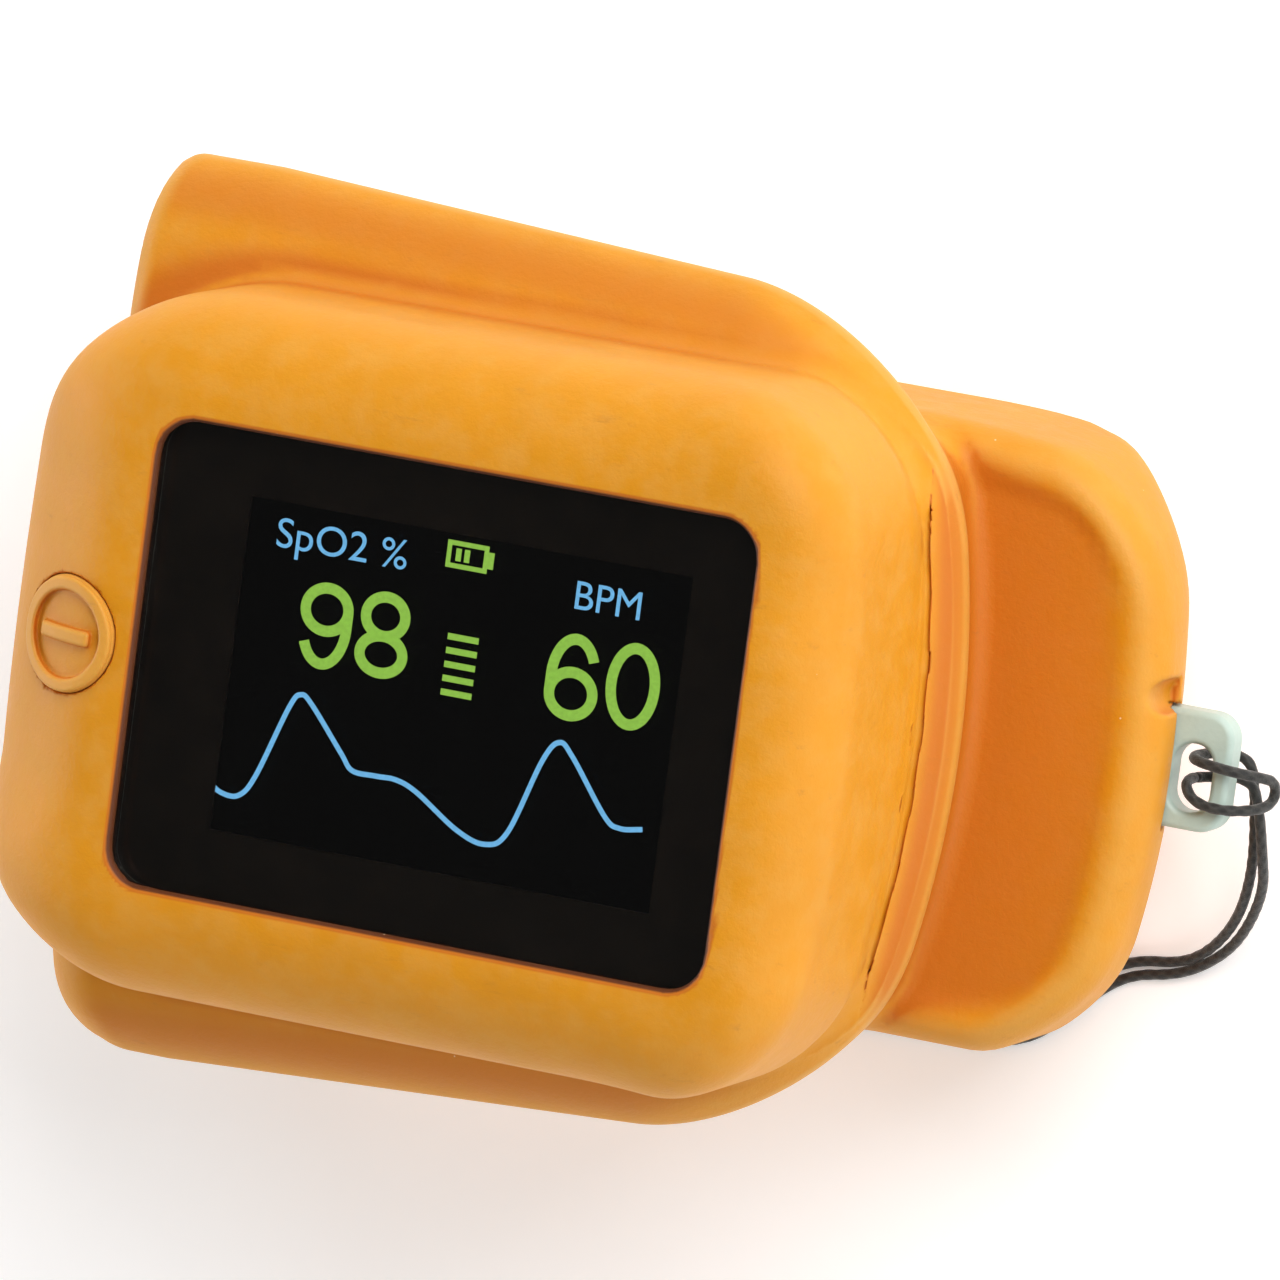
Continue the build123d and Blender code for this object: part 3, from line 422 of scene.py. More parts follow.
def flange_shape(x, y, z):
    """Folded rim round both sides and the rear, open in front."""
    bow = CREST_BOW * (y / BOW_HALF) ** 2 * smoothstep(-31, 16, x)
    wide = np.abs(y) + 0.056 * np.maximum(x + 23, 0)
    side = plan_box(x + bow, wide, -60.0, CREST_REAR_X, CREST_HALF, 0.3, CREST_REAR_CORNER)
    inset = np.clip(-side, -1.0, 9.0)
    slope = 2.0 * np.exp(-inset / CREST_FADE)
    above = (z - CREST_Z - CREST_RISE * (1 - np.exp(-inset / CREST_FADE))) / np.sqrt(1 + slope ** 2)
    below = (CREST_Z - CREST_UNDERCUT * inset - z) / 1.45
    rim = meet(meet(above, below, 0.8), side, 0.25)
    outward = np.clip(np.abs(y) - 17.8, 0, 5.6) / 5.6
    bulge = by_side(y, 0.5, 1.1) * np.sqrt(np.clip(1 - outward ** 2, 0, 1))
    front = by_side(y, CREST_FRONT_LEFT_X, CREST_FRONT_RIGHT_X) - bulge - x
    rim = meet(rim, front, by_side(y, 1.4, 3.8))
    core = np.maximum(np.abs(y) - CORE_HALF, x - CORE_REAR_X)
    return np.maximum(rim, -core)


def tub_shape(x, y, z, panel):
    """Lower block: rounded underside, heel, rear platform with a panel sunk by some depth, and neck."""
    bow = by_side(y, 0.8, 1.15) * (y / 10) ** 2 * smoothstep(14, 24, x)
    wide = np.abs(y) + by_side(y, 0.0095, 0.0) * np.maximum(x - 12, 0) ** 2
    rear_corner = by_side(y, TUB_REAR_CORNER_LEFT, TUB_REAR_CORNER_RIGHT)
    plan = plan_box(x + bow, wide, FRONT_X, REAR_X, TUB_HALF, TUB_FRONT_CORNER, rear_corner)
    heel = (HEEL_SLOPE * (x - HEEL_X) - z) / HEEL_SLANT
    top = TUB_TOP_Z - panel * smoothstep(0.8, 3.4, -plan)
    under = meet(plan, meet(-z, heel, 1.6), 3.3 + 1.4 * smoothstep(19, 25, x))
    deck = meet(under, z - top, 2.4)
    neck_bow = 1.7 * (y / BOW_HALF) ** 2 * smoothstep(0, 14, x)
    wall = plan_box(x + neck_bow, y, FRONT_X + 0.05, NECK_REAR_X, NECK_HALF, 5.2, 3.0)
    neck = np.maximum(np.maximum(wall, z - NECK_HIGH_Z), NECK_LOW_Z - z)
    return join(deck, neck, 0.02 + smoothstep(8, 14, x))


def body_shape(x, y, z, panel):
    """The whole boot as one solid body."""
    past_front = smoothstep(-31, -25, x)
    lower = join(tub_shape(x, y, z, panel), flange_shape(x, y, z), 0.1 + 1.5 * past_front)
    return join(hump_shape(x, y, z), lower, 0.05 + 0.85 * past_front)


def window_shape(x, y, grow=0.0):
    """The window's opening in plan."""
    return plan_box(
        x - WINDOW_X, y, -WINDOW_HALF_LENGTH - grow, WINDOW_HALF_LENGTH + grow, WINDOW_HALF_WIDTH + grow,
        WINDOW_CORNER, WINDOW_CORNER,
    )


def cut(shape, tool, radius):
    """A shape with another taken out of it and the edge rounded."""
    return meet(shape, -tool, radius)


def boot_shape(x, y, z):
    """Boot wall with its window, button hole, finger entry, slit and openings."""
    outside = body_shape(x, y, z, PANEL_DEPTH)
    notch = np.hypot(x - NOTCH_X, y - NOTCH_Y) - NOTCH_RADIUS
    outside = cut(outside, np.maximum(notch, NOTCH_LOW_Z - z), 0.2)
    slit_x = x + rear_bow(y) - SLIT_X
    ends = np.sqrt(np.clip(1.02 - (y / SLIT_HALF_LENGTH) ** 2, 0, 1))
    gape = (0.16 + 0.02 * np.sin(1.7 * y)) * ends - 0.03
    slit = np.maximum(np.abs(slit_x) - gape, np.abs(z - SLIT_Z) - SLIT_HALF_HEIGHT)
    outside = cut(outside, np.maximum(slit, -outside - SLIT_DEPTH), 0.12)
    inside = body_shape(x, y, z, 0.0) + WALL
    skin = np.maximum(outside, -inside)
    lip = -0.16 * smoothstep(35.36, 35.46, z)
    skin = cut(skin, np.maximum(window_shape(x, y, lip), WINDOW_LOW_Z - z), 0.38)
    hole = np.hypot(x - BUTTON_X, y) - BUTTON_HOLE_RADIUS
    skin = cut(skin, np.maximum(hole, BUTTON_HOLE_LOW_Z - z), 0.12)
    entry = np.hypot(y / TUNNEL_HALF_WIDTH, (z - TUNNEL_Z) / TUNNEL_HALF_HEIGHT) - 1
    skin = cut(skin, np.maximum(entry * TUNNEL_HALF_HEIGHT, x - TUNNEL_END_X), 0.5)
    parting = np.maximum(np.abs(z - CREST_Z) - PARTING_GAP, x - PARTING_END_X)
    skin = cut(skin, np.maximum(parting, np.abs(y) - PARTING_HALF), 0.1)
    door = plan_box(x, y, DOOR_FRONT_X, DOOR_REAR_X, DOOR_HALF, DOOR_CORNER, DOOR_CORNER)
    skin = cut(skin, np.maximum(door, z - DOOR_TOP_Z), 0.2)
    lug = np.maximum(LUG_FRONT_X - x, np.abs(y) - LUG_HALF_WIDTH)
    return cut(skin, np.maximum(lug, np.abs(z - LUG_Z) - LUG_HALF_HEIGHT), 0.2)


def grid_line(low, high, step, *fine):
    """Grid positions from low to high, closer together in and just round each (from, to, step)."""
    margin = 0.3
    made = [low]
    while made[-1] < high:
        here = made[-1]
        pace = min([finer for a, b, finer in fine if a - margin < here < b + margin] or [step])
        made.append(here + pace)
    return np.array(made, np.float64)


def slopes(shape, points, reach):
    """Gradient of a shape at some points, by differences."""
    x, y, z = points.T
    return np.stack(
        [
            (shape(x + reach, y, z) - shape(x - reach, y, z)) / (2 * reach),
            (shape(x, y + reach, z) - shape(x, y - reach, z)) / (2 * reach),
            (shape(x, y, z + reach) - shape(x, y, z - reach)) / (2 * reach),
        ],
        axis=1,
    )


def surface_of(shape, xs, ys, zs, bowed):
    """Quads over a shape's zero surface: one vertex in each grid cell that it crosses."""
    settling_rounds, longest_step = 4, 0.175
    value = shape(bowed(xs[:, None, None], ys[None, :, None]), ys[None, :, None], zs[None, None, :])
    inside = value < 0
    count = np.zeros(tuple(n - 1 for n in value.shape), np.int8)
    corners = [(i, j, k) for i in (0, 1) for j in (0, 1) for k in (0, 1)]
    nx, ny, nz = count.shape
    for i, j, k in corners:
        count += inside[i:i + nx, j:j + ny, k:k + nz]
    cells = np.argwhere((count > 0) & (count < 8))
    number = np.full(count.shape, -1, np.int64)
    number[tuple(cells.T)] = np.arange(len(cells))
    lines = (xs, ys, zs)
    total, hits = np.zeros((len(cells), 3)), np.zeros(len(cells))
    for axis in range(3):
        for one in corners:
            if one[axis]:
                continue
            two = tuple(one[n] + (n == axis) for n in range(3))
            first = value[tuple((cells + one).T)]
            second = value[tuple((cells + two).T)]
            cross = (first < 0) != (second < 0)
            share = np.where(cross, first / np.where(cross, first - second, 1.0), 0.0)
            for n in range(3):
                start = lines[n][cells[:, n] + one[n]]
                end = lines[n][cells[:, n] + two[n]]
                total[:, n] += np.where(cross, start + share * (end - start), 0.0)
            hits += cross
    points = total / hits[:, None]
    points[:, 0] = bowed(points[:, 0], points[:, 1])
    faces = []
    for axis in range(3):
        low = [slice(1, -1)] * 3
        low[axis] = slice(0, -1)
        high = list(low)
        high[axis] = slice(1, None)
        a, b = inside[tuple(low)], inside[tuple(high)]
        for grows in (True, False):
            edges = np.argwhere((a & ~b) if grows else (~a & b))
            at = edges + [0 if n == axis else 1 for n in range(3)]
            u, v = [n for n in range(3) if n != axis]
            if axis == 1:
                u, v = v, u
            ring = []
            for du, dv in ((-1, -1), (0, -1), (0, 0), (-1, 0)):
                cell = at.copy()
                cell[:, u] += du
                cell[:, v] += dv
                ring.append(number[tuple(cell.T)])
            quad = np.stack(ring if grows else ring[::-1], axis=1)
            faces.append(quad)
    for _ in range(settling_rounds):
        slope = slopes(shape, points, 0.01)
        size = np.maximum((slope ** 2).sum(1), 0.05)
        step = slope * (shape(*points.T) / size)[:, None]
        length = np.linalg.norm(step, axis=1)[:, None]
        points -= step * np.minimum(1.0, longest_step / np.maximum(length, 1e-9))
    return points, np.concatenate(faces).tolist()


def painted_hollow_shade(outer_shape, points, normals):
    """Painted shade at each point: 0 in the open, 1 deep in a valley, 2 on the window's inner wall, painted
    near black as shade; the sunk rear panel and the ledge behind the slit are deepened too.
    """
    x, y, z = points.T
    shade = np.zeros(len(points))
    for far in PAINTED_SHADE_REACHES:
        shade += np.clip(1 - outer_shape(*(points + normals * far).T) / far, 0, 1) / 3
    panel = smoothstep(1.6, 3.6, -plan_box(x + 1.1 * (y / 10) ** 2, y, 10, REAR_X, TUB_HALF, 1, 6.5))
    panel = panel * smoothstep(16.5, 15.5, z)
    past_slit = x + rear_bow(y) - SLIT_X
    ledge = smoothstep(-0.1, 0.8, past_slit) * smoothstep(2.1, 0.9, past_slit)
    ledge = ledge * smoothstep(23, 21, z) * smoothstep(16, 17.5, z)
    shade = (2.1 - 1.1 * smoothstep(14, 17, x)) * shade
    shade = shade + 0.6 * panel * smoothstep(15, 17, x) + 0.65 * ledge
    return np.clip(shade, 0, 1) + smoothstep(0.2, 0.08, window_shape(x, y)) * smoothstep(34, 35, z)


def curvature(shape, points):
    """How a shape curves at some points: high on its ridges."""
    x, y, z = points.T
    r = BEND_REACH
    around = ((r, 0, 0), (-r, 0, 0), (0, r, 0), (0, -r, 0), (0, 0, r), (0, 0, -r))
    total = sum(shape(x + dx, y + dy, z + dz) for dx, dy, dz in around)
    return (total - 6 * shape(x, y, z)) / r ** 2


def silicone_piece(name, shape, outer_shape, grid, bowed):
    """A smooth mesh over a shape, whose vertices keep their rest place, painted shade and bend."""
    points, faces = surface_of(shape, *grid, bowed)
    made = mesh_piece(name, points, faces)
    normals = slopes(shape, points, NORMAL_REACH)
    normals /= np.maximum(np.linalg.norm(normals, axis=1), 1e-6)[:, None]
    made.data.normals_split_custom_set_from_vertices(normals.tolist())
    for key, value in (
        ("painted_shade", painted_hollow_shade(outer_shape, points, normals)),
        ("bend", curvature(outer_shape, points)),
    ):
        made.data.attributes.new(key, "FLOAT", "POINT").data.foreach_set("value", value.astype(np.float32))
    rest = made.data.attributes.new("rest", "FLOAT_VECTOR", "POINT")
    rest.data.foreach_set("vector", (points * MM).astype(np.float32).ravel())
    return made


# Finer lines at the front face, the button's brow, the window's ends, the slit and the notch.
boot_grid = (
    grid_line(
        -31.9, 27.9, 0.6, (-31.6, -28.4, 0.35), (-28.4, -21.9, 0.24), (-21.4, -20.6, 0.17),
        (11.9, 12.7, 0.17), (16.5, 17.4, 0.09), (25.9, 27.5, 0.2),
    ),
    grid_line(-24.2, 24.2, 0.6, (-12.7, -11.9, 0.17), (-3.4, 2.8, 0.24), (2.8, 5.2, 0.2), (11.9, 12.7, 0.17)),
    grid_line(-0.5, 36.6, 0.6, (0.0, 1.9, 0.35), (18.5, 19.4, 0.25), (19.4, 21.2, 0.16), (31.5, 36.1, 0.2)),
)


def boot_body(x, y, z):
    """The boot's outside without its openings."""
    return body_shape(x, y, z, PANEL_DEPTH)


def bowed_grid(x, y):
    """Bends the grid's rear lines to run along the slit."""
    return x - rear_bow(y) * smoothstep(0, 14, x)


boot = silicone_piece("boot_skin", boot_shape, boot_body, boot_grid, bowed_grid)
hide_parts("boot_upper", "boot_lower")
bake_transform(boot)


def pad_shape(x, y, z):
    """Button pad: follows the brow, with a raised ring and bar."""
    brow = hump_shape(x, y, z)
    out = np.hypot(x - BUTTON_X, y)
    ring = np.abs(out - RING_RADIUS) - RING_HALF_WIDTH
    mark = meet(np.abs(x - BUTTON_X) - BAR_HALF_LENGTH, np.abs(y) - BAR_HALF_WIDTH, 0.2)
    raised = meet(np.minimum(ring, mark), brow - RING_RISE, 0.22)
    disc = meet(out - BUTTON_RADIUS, brow, 0.08)
    whole = join(disc, meet(raised, out - BUTTON_RADIUS, 0.2), 0.12)
    return np.maximum(whole, -(brow + PAD_THICKNESS))


def straight_grid(x, y):
    """Leaves the grid's lines as they are."""
    return x


PAD_STEP = 0.13
pad_grid = tuple(grid_line(low, high, PAD_STEP) for low, high in ((-28.4, -21.8), (-3.3, 3.3), (30.0, 36.8)))
pad = silicone_piece("button_cap", pad_shape, pad_shape, pad_grid, straight_grid)
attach(pad, "power_button")
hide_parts("button_pad")


# ---------------------------------------------------------------- silicone finish
ORANGE = (0.690, 0.275, 0.009, 1.0)
# Painted shade colour for hollows.
ORANGE_PAINTED_SHADE = (0.590, 0.168, 0.010, 1.0)
# Pale tone for random patches, also used as a painted highlight on ridges.
ORANGE_PALE = (0.720, 0.360, 0.070, 1.0)
LINT = (0.860, 0.700, 0.440, 1.0)
GRIME = (0.330, 0.120, 0.030, 1.0)
# Painted shade colour for the window's inner wall.
WINDOW_WALL_PAINTED_SHADE = (0.120, 0.032, 0.008, 1.0)
GRIME_SHARE = 0.28
PEBBLE_DEPTH = 0.00003
GRAIN_DEPTH = 0.000012


def combine(tree, operation, first, second):
    """Sum or product of two values."""
    return add_node(tree, "ShaderNodeMath", {0: first, 1: second}, operation=operation).outputs[0]


def silicone():
    """Matt orange silicone: mottled, with painted shade in its hollows and on the window's inner wall, a
    painted highlight on its ridges, lint, scuffs and fine grain.
    """
    made, tree, shader = new_material("orange_silicone_worn")
    place = add_node(tree, "ShaderNodeAttribute", attribute_name="rest").outputs["Vector"]
    bend = add_node(tree, "ShaderNodeAttribute", attribute_name="bend").outputs["Fac"]
    cloud = noise(tree, place, 160.0, 4.0)
    patch = noise(tree, place, 620.0, 5.0, 0.6)
    grain = noise(tree, place, 9000.0, 2.0)
    pebble = noise(tree, place, 2600.0, 3.0)
    tint = blend_colour(tree, spread(tree, cloud, 0.3, 0.7), ORANGE, scaled(ORANGE, 1.07))
    tint = blend_colour(tree, spread(tree, patch, 0.35, 0.75, 0.0, 0.35), tint, ORANGE_PALE)
    painted_shade = add_node(tree, "ShaderNodeAttribute", attribute_name="painted_shade").outputs["Fac"]
    # Painted highlight: paler orange along ridges.
    ridge_highlight = spread(tree, bend, 0.25, 1.1, 0.0, 0.6)
    # Painted shade: deeper orange where the surface is enclosed, near black on the window's inner wall.
    tint = blend_colour(tree, spread(tree, painted_shade, 0.05, 0.85), tint, ORANGE_PAINTED_SHADE)
    tint = blend_colour(tree, ridge_highlight, tint, ORANGE_PALE)
    tint = blend_colour(tree, spread(tree, painted_shade, 1.1, 1.7), tint, WINDOW_WALL_PAINTED_SHADE)
    streak = noise(tree, place, 900.0, 6.0, 0.7, stretch=(0.35, 1.3, 1.0))
    grime = combine(tree, "MULTIPLY", spread(tree, streak, 0.6, 0.78), GRIME_SHARE)
    tint = blend_colour(tree, grime, tint, GRIME)
    cells = add_node(tree, "ShaderNodeTexVoronoi", {"Vector": place, "Scale": 420.0, "Randomness": 1.0})
    speck = spread(tree, cells.outputs["Distance"], 0.030, 0.012, 0.0, 0.8)
    lottery = add_node(tree, "ShaderNodeSeparateColor", {"Color": cells.outputs["Color"]}).outputs["Red"]
    lint = combine(tree, "MULTIPLY", spread(tree, lottery, 0.5, 0.54), speck)
    tint = blend_colour(tree, lint, tint, LINT)
    tree.links.new(tint, shader.inputs["Base Color"])
    rough = combine(tree, "ADD", spread(tree, patch, 0.3, 0.7, 0.46, 0.58), lint)
    tree.links.new(rough, shader.inputs["Roughness"])
    below = bump(tree, pebble, PEBBLE_DEPTH)
    tree.links.new(bump(tree, grain, GRAIN_DEPTH, below), shader.inputs["Normal"])
    shader.inputs["IOR"].default_value = 1.42
    shader.inputs["Specular IOR Level"].default_value = 0.36
    shader.inputs["Subsurface Weight"].default_value = 0.12
    shader.inputs["Subsurface Radius"].default_value = (1.0, 0.35, 0.1)
    shader.inputs["Subsurface Scale"].default_value = 0.0012
    return made


skin = silicone()
for piece in (boot, pad):
    piece.data.materials.append(skin)


BRAID_BLACK = (0.006, 0.006, 0.005, 1)
# Painted highlight on the crowns of the strands.
BRAID_CROWN_HIGHLIGHT = (0.045, 0.043, 0.036, 1)
BRAID_FUZZ = (0.10, 0.095, 0.08, 1)


def braid():
    """Black nylon braid, greyer on the crowns of its strands as a painted highlight."""
    made, tree, shader = new_material("black_braid_woven")
    place = add_node(tree, "ShaderNodeTexCoord").outputs["Object"]
    strand = add_node(tree, "ShaderNodeAttribute", attribute_name="strand").outputs["Fac"]
    fuzz = noise(tree, place, 12000.0, 3.0)
    tint = blend_colour(tree, spread(tree, strand, 0.3, 1.0), BRAID_BLACK, BRAID_CROWN_HIGHLIGHT)
    tint = blend_colour(tree, spread(tree, fuzz, 0.55, 0.8, 0, 0.5), tint, BRAID_FUZZ)
    tree.links.new(tint, shader.inputs["Base Color"])
    tree.links.new(spread(tree, fuzz, 0.3, 0.7, 0.5, 0.75), shader.inputs["Roughness"])
    tree.links.new(bump(tree, fuzz, 0.00004), shader.inputs["Normal"])
    shader.inputs["Sheen Weight"].default_value = 0.3
    return made


black_braid = braid()
for cord in (cord_a, cord_b):
    cord.data.materials.append(black_braid)


def clear(name, tint, rough, ior):
    """Clear moulded plastic with faint smears in its gloss."""
    made, tree, shader = new_material(name)
    place = add_node(tree, "ShaderNodeTexCoord").outputs["Object"]
    smear = noise(tree, place, 140.0, 4.0, 0.6, stretch=(1.0, 0.5, 1.0))
    tree.links.new(spread(tree, smear, 0.4, 0.75, rough, rough + 0.05), shader.inputs["Roughness"])
    shader.inputs["Base Color"].default_value = tint
    shader.inputs["IOR"].default_value = ior
    shader.inputs["Transmission Weight"].default_value = 1.0
    return made


# One finish for each material slot of the CAD part, in the order name, colour, roughness.
finishes = {
    "grey_green_plastic": moulded(
        "grey_green_moulded", (0.470, 0.580, 0.510, 1), 0.42, grain=3500.0, depth=0.000012, mottle=0.06,
    ),
    "clear_window": clear("window_acrylic", (0.98, 0.98, 0.97, 1), 0.015, 1.46),
    "black_print": moulded(
        "black_screen_print", (0.0085, 0.0052, 0.0030, 1), 0.35, grain=6000.0, depth=0.000004, mottle=0.25,
        specular=0.12,
    ),
    "display_glass": moulded(
        "display_black_glass", (0.0004, 0.0004, 0.0005, 1), 0.2, grain=3000.0, depth=0.000001, mottle=0.2,
        specular=0.06,
    ),
    "black_foam": moulded(
        "black_foam_cells", (0.018, 0.018, 0.019, 1), 0.9, grain=5000.0, depth=0.00012, mottle=0.35, wear=0.1,
    ),
    "green_board": moulded(
        "board_solder_mask", (0.012, 0.105, 0.036, 1), 0.28, grain=1800.0, depth=0.000018, mottle=0.3,
    ),
    "black_epoxy": moulded(
        "component_epoxy", (0.022, 0.022, 0.024, 1), 0.55, grain=7000.0, depth=0.00002, mottle=0.25,
    ),
    "white_plastic": moulded(
        "white_moulded", (0.72, 0.71, 0.66, 1), 0.4, grain=2600.0, depth=0.00001, mottle=0.05,
    ),
    "grey_silicone": moulded(
        "grey_pad_silicone", (0.16, 0.165, 0.17, 1), 0.6, grain=5200.0, depth=0.00004, mottle=0.12,
    ),
    "clear_plastic": clear("sensor_window_plastic", (0.93, 0.95, 0.95, 1), 0.06, 1.49),
    "led_package": moulded(
        "led_resin", (0.62, 0.60, 0.50, 1), 0.25, grain=4200.0, depth=0.000006, mottle=0.12,
    ),
    "steel": moulded(
        "brushed_steel", (0.50, 0.49, 0.47, 1), 0.32, metal=1.0, grain=5200.0, depth=0.000016, mottle=0.1,
        stretch=(0.2, 1.0, 1.0),
    ),
    "spring_steel": moulded(
        "drawn_spring_wire", (0.40, 0.40, 0.41, 1), 0.28, metal=1.0, grain=8200.0, depth=0.00001, mottle=0.16,
    ),
    "nickel_plate": moulded(
        "nickel_plated_strip", (0.62, 0.59, 0.53, 1), 0.24, metal=1.0, grain=3600.0, depth=0.00001,
        mottle=0.1,
    ),
    "cell_jacket": moulded(
        "cell_foil_jacket", (0.045, 0.070, 0.150, 1), 0.3, metal=0.35, grain=1700.0, depth=0.00001,
        mottle=0.2,
    ),
    "amber_film": moulded(
        "amber_flex_film", (0.42, 0.18, 0.022, 1), 0.25, grain=2800.0, depth=0.000012, mottle=0.2,
    ),
    "black_plastic": moulded(
        "black_moulded", (0.012, 0.012, 0.012, 1), 0.4, grain=4600.0, depth=0.00003, mottle=0.25,
    ),
}


# ---------------------------------------------------------------- studio
FLOOR_HALF = 1.5
PAPER_DARK = (0.965, 0.965, 0.965, 1)
PAPER_LIGHT = (0.98, 0.98, 0.98, 1)
floor_mesh = bpy.data.meshes.new("floor")
floor_corners = [(FLOOR_HALF * x, FLOOR_HALF * y, 0) for x, y in ((-1, -1), (1, -1), (1, 1), (-1, 1))]
floor_mesh.from_pydata(floor_corners, [], [(0, 1, 2, 3)])
floor = bpy.data.objects.new("floor", floor_mesh)
bpy.context.scene.collection.objects.link(floor)
paper, paper_tree, paper_shader = new_material("pale_paper")
paper_place = add_node(paper_tree, "ShaderNodeTexCoord").outputs["Object"]
paper_fibre = noise(paper_tree, paper_place, 900.0, 4.0)
paper_tint = blend_colour(paper_tree, spread(paper_tree, paper_fibre, 0.3, 0.7), PAPER_DARK, PAPER_LIGHT)
paper_tree.links.new(paper_tint, paper_shader.inputs["Base Color"])
paper_shader.inputs["Roughness"].default_value = 0.9
paper_shader.inputs["Emission Color"].default_value = (1.0, 1.0, 1.0, 1.0)
paper_shader.inputs["Emission Strength"].default_value = 0.25
floor_mesh.materials.append(paper)

world = bpy.data.worlds.new("studio")
bpy.context.scene.world = world
world.use_nodes = True
background = world.node_tree.nodes["Background"]
background.inputs["Color"].default_value = (1.0, 0.99, 0.97, 1.0)
background.inputs["Strength"].default_value = 0.05

AIM = Vector((-0.002, 0.0, 0.018))
SOFTBOXES = [
    # name, direction, distance, width, height, watts
    ("key_above", (0.44, 0.58, 0.68), 0.62, 0.42, 0.42, 3.25),
    ("wash_left", (-1.0, -0.12, 0.20), 0.50, 0.50, 0.26, 1.55),
    ("wash_right", (1.0, -0.10, 0.34), 0.50, 0.40, 0.30, 0.95),
    ("wash_back", (-0.1, 1.0, 0.45), 0.55, 0.50, 0.30, 1.0),
    ("fill_front", (0.1, -1.0, 0.55), 0.62, 0.50, 0.34, 1.15),
]
for name, direction, distance, width, height, watts in SOFTBOXES:
    lamp = bpy.data.lights.new(name, "AREA")
    lamp.shape = "RECTANGLE"
    lamp.size, lamp.size_y, lamp.energy = width, height, watts
    holder = bpy.data.objects.new(name, lamp)
    bpy.context.scene.collection.objects.link(holder)
    way = Vector(direction).normalized()
    holder.location = AIM + way * distance
    holder.rotation_euler = way.to_track_quat("Z", "Y").to_euler()
    holder.visible_glossy = name != "wash_back"  # it would mirror in the window


# ---------------------------------------------------------------- finishes of the CAD nodes
for part in frame["record"]["subparts"]:
    for material_slot in frame["nodes"][part["node"]].material_slots:
        if part["material_slot"] in finishes:
            material_slot.material = finishes[part["material_slot"]]


# ---------------------------------------------------------------- display graphics, in millimetres
GRAPHICS_Z = 33.965
DIGIT_STROKE = 0.57
WAVE_STROKE = 0.27


def glow(name, colour, strength):
    """Lit display segments, a little uneven between their pixels."""
    made, tree, shader = new_material(name)
    place = add_node(tree, "ShaderNodeTexCoord").outputs["Object"]
    pixel = noise(tree, place, 5000.0, 2.0)
    tint = blend_colour(tree, spread(tree, pixel, 0.3, 0.7), scaled(colour, 0.93), scaled(colour, 1.07))
    tree.links.new(tint, shader.inputs["Emission Color"])
    dimmed = blend_colour(tree, 0.9, tint, (0.0, 0.0, 0.0, 1.0))
    tree.links.new(dimmed, shader.inputs["Base Color"])
    shader.inputs["Emission Strength"].default_value = strength
    shader.inputs["Roughness"].default_value = 0.4
    shader.inputs["Specular IOR Level"].default_value = 0.1
    return made


def arc_points(cx, cy, rx, ry, start, end, count=40):
    """Points along an ellipse between two angles in degrees."""
    at = np.radians(np.linspace(start, end, count))
    return [(cx + rx * math.cos(a), cy + ry * math.sin(a)) for a in at]


def smooth_line(knots, count=14):
    """Rounded line through knots."""
    knots = [np.array(k, float) for k in knots]
    ends = [2 * knots[0] - knots[1]] + knots + [2 * knots[-1] - knots[-2]]
    made = []
    for a, b, c, d in zip(ends, ends[1:], ends[2:], ends[3:]):
        for t in np.linspace(0, 1, count, endpoint=False):
            square, cube = 2 * a - 5 * b + 4 * c - d, 3 * b - a - 3 * c + d
            made.append(0.5 * (2 * b + (c - a) * t + square * t ** 2 + cube * t ** 3))
    return [tuple(p) for p in made] + [tuple(knots[-1])]


def ribbon(line, width, closed=False):
    """Flat band along a line: its points and quads."""
    line = np.array(line, float)
    if closed:
        ahead, back = np.roll(line, -1, 0), np.roll(line, 1, 0)
    else:
        ahead, back = np.vstack([line[1:], line[-1:]]), np.vstack([line[:1], line[:-1]])
    along = ahead - back
    along /= np.linalg.norm(along, axis=1)[:, None]
    across = np.stack([-along[:, 1], along[:, 0]], 1) * width / 2
    points = np.empty((2 * len(line), 2))
    points[0::2], points[1::2] = line + across, line - across
    n = len(line)
    quads = []
    for here in range(n if closed else n - 1):
        ahead = (here + 1) % n
        quads.append((2 * here, 2 * here + 1, 2 * ahead + 1, 2 * ahead))
    return points, quads


def graphics_piece(name, bands, finish):
    """Bands joined into one thin piece just over the display."""
    points, faces = [], []
    for band_points, quads in bands:
        base = len(points)
        points += [(x, y, GRAPHICS_Z) for x, y in band_points]
        faces += [tuple(base + i for i in quad) for quad in quads]
    made = mesh_piece(name, points, faces, smooth=False)
    made.data.materials.append(finish)
    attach(made, "upper_jaw")
    return made


def ellipse(cx, cy, w, h):
    """Closed ring of one digit stroke, with its outside w by h."""
    s = DIGIT_STROKE
    return ribbon(arc_points(cx, cy, (w - s) / 2, (h - s) / 2, 0, 351), s, True)


def zero(cx, cy, w, h):
    """Digit of one ring."""
    return [ellipse(cx, cy, w, h)]


def six(cx, cy, w, h):
    """Bowl below and a stroke that sweeps up its left side and over."""
    s = DIGIT_STROKE
    bowl_h = 0.62 * h
    bowl_y = cy - h / 2 + bowl_h / 2
    left = cx - (w - s) / 2
    sweep = arc_points(cx, cy, (w - s) / 2, (h - s) / 2, 28, 180) + [(left, cy - 0.1 * h), (left, bowl_y)]
    return [ellipse(cx, bowl_y, w, bowl_h), ribbon(sweep, s)]


def nine(cx, cy, w, h):
    """The six turned half a turn."""
    turned = []
    for points, quads in six(0, 0, w, h):
        turned.append((np.array([cx, cy]) - points, quads))
    return turned


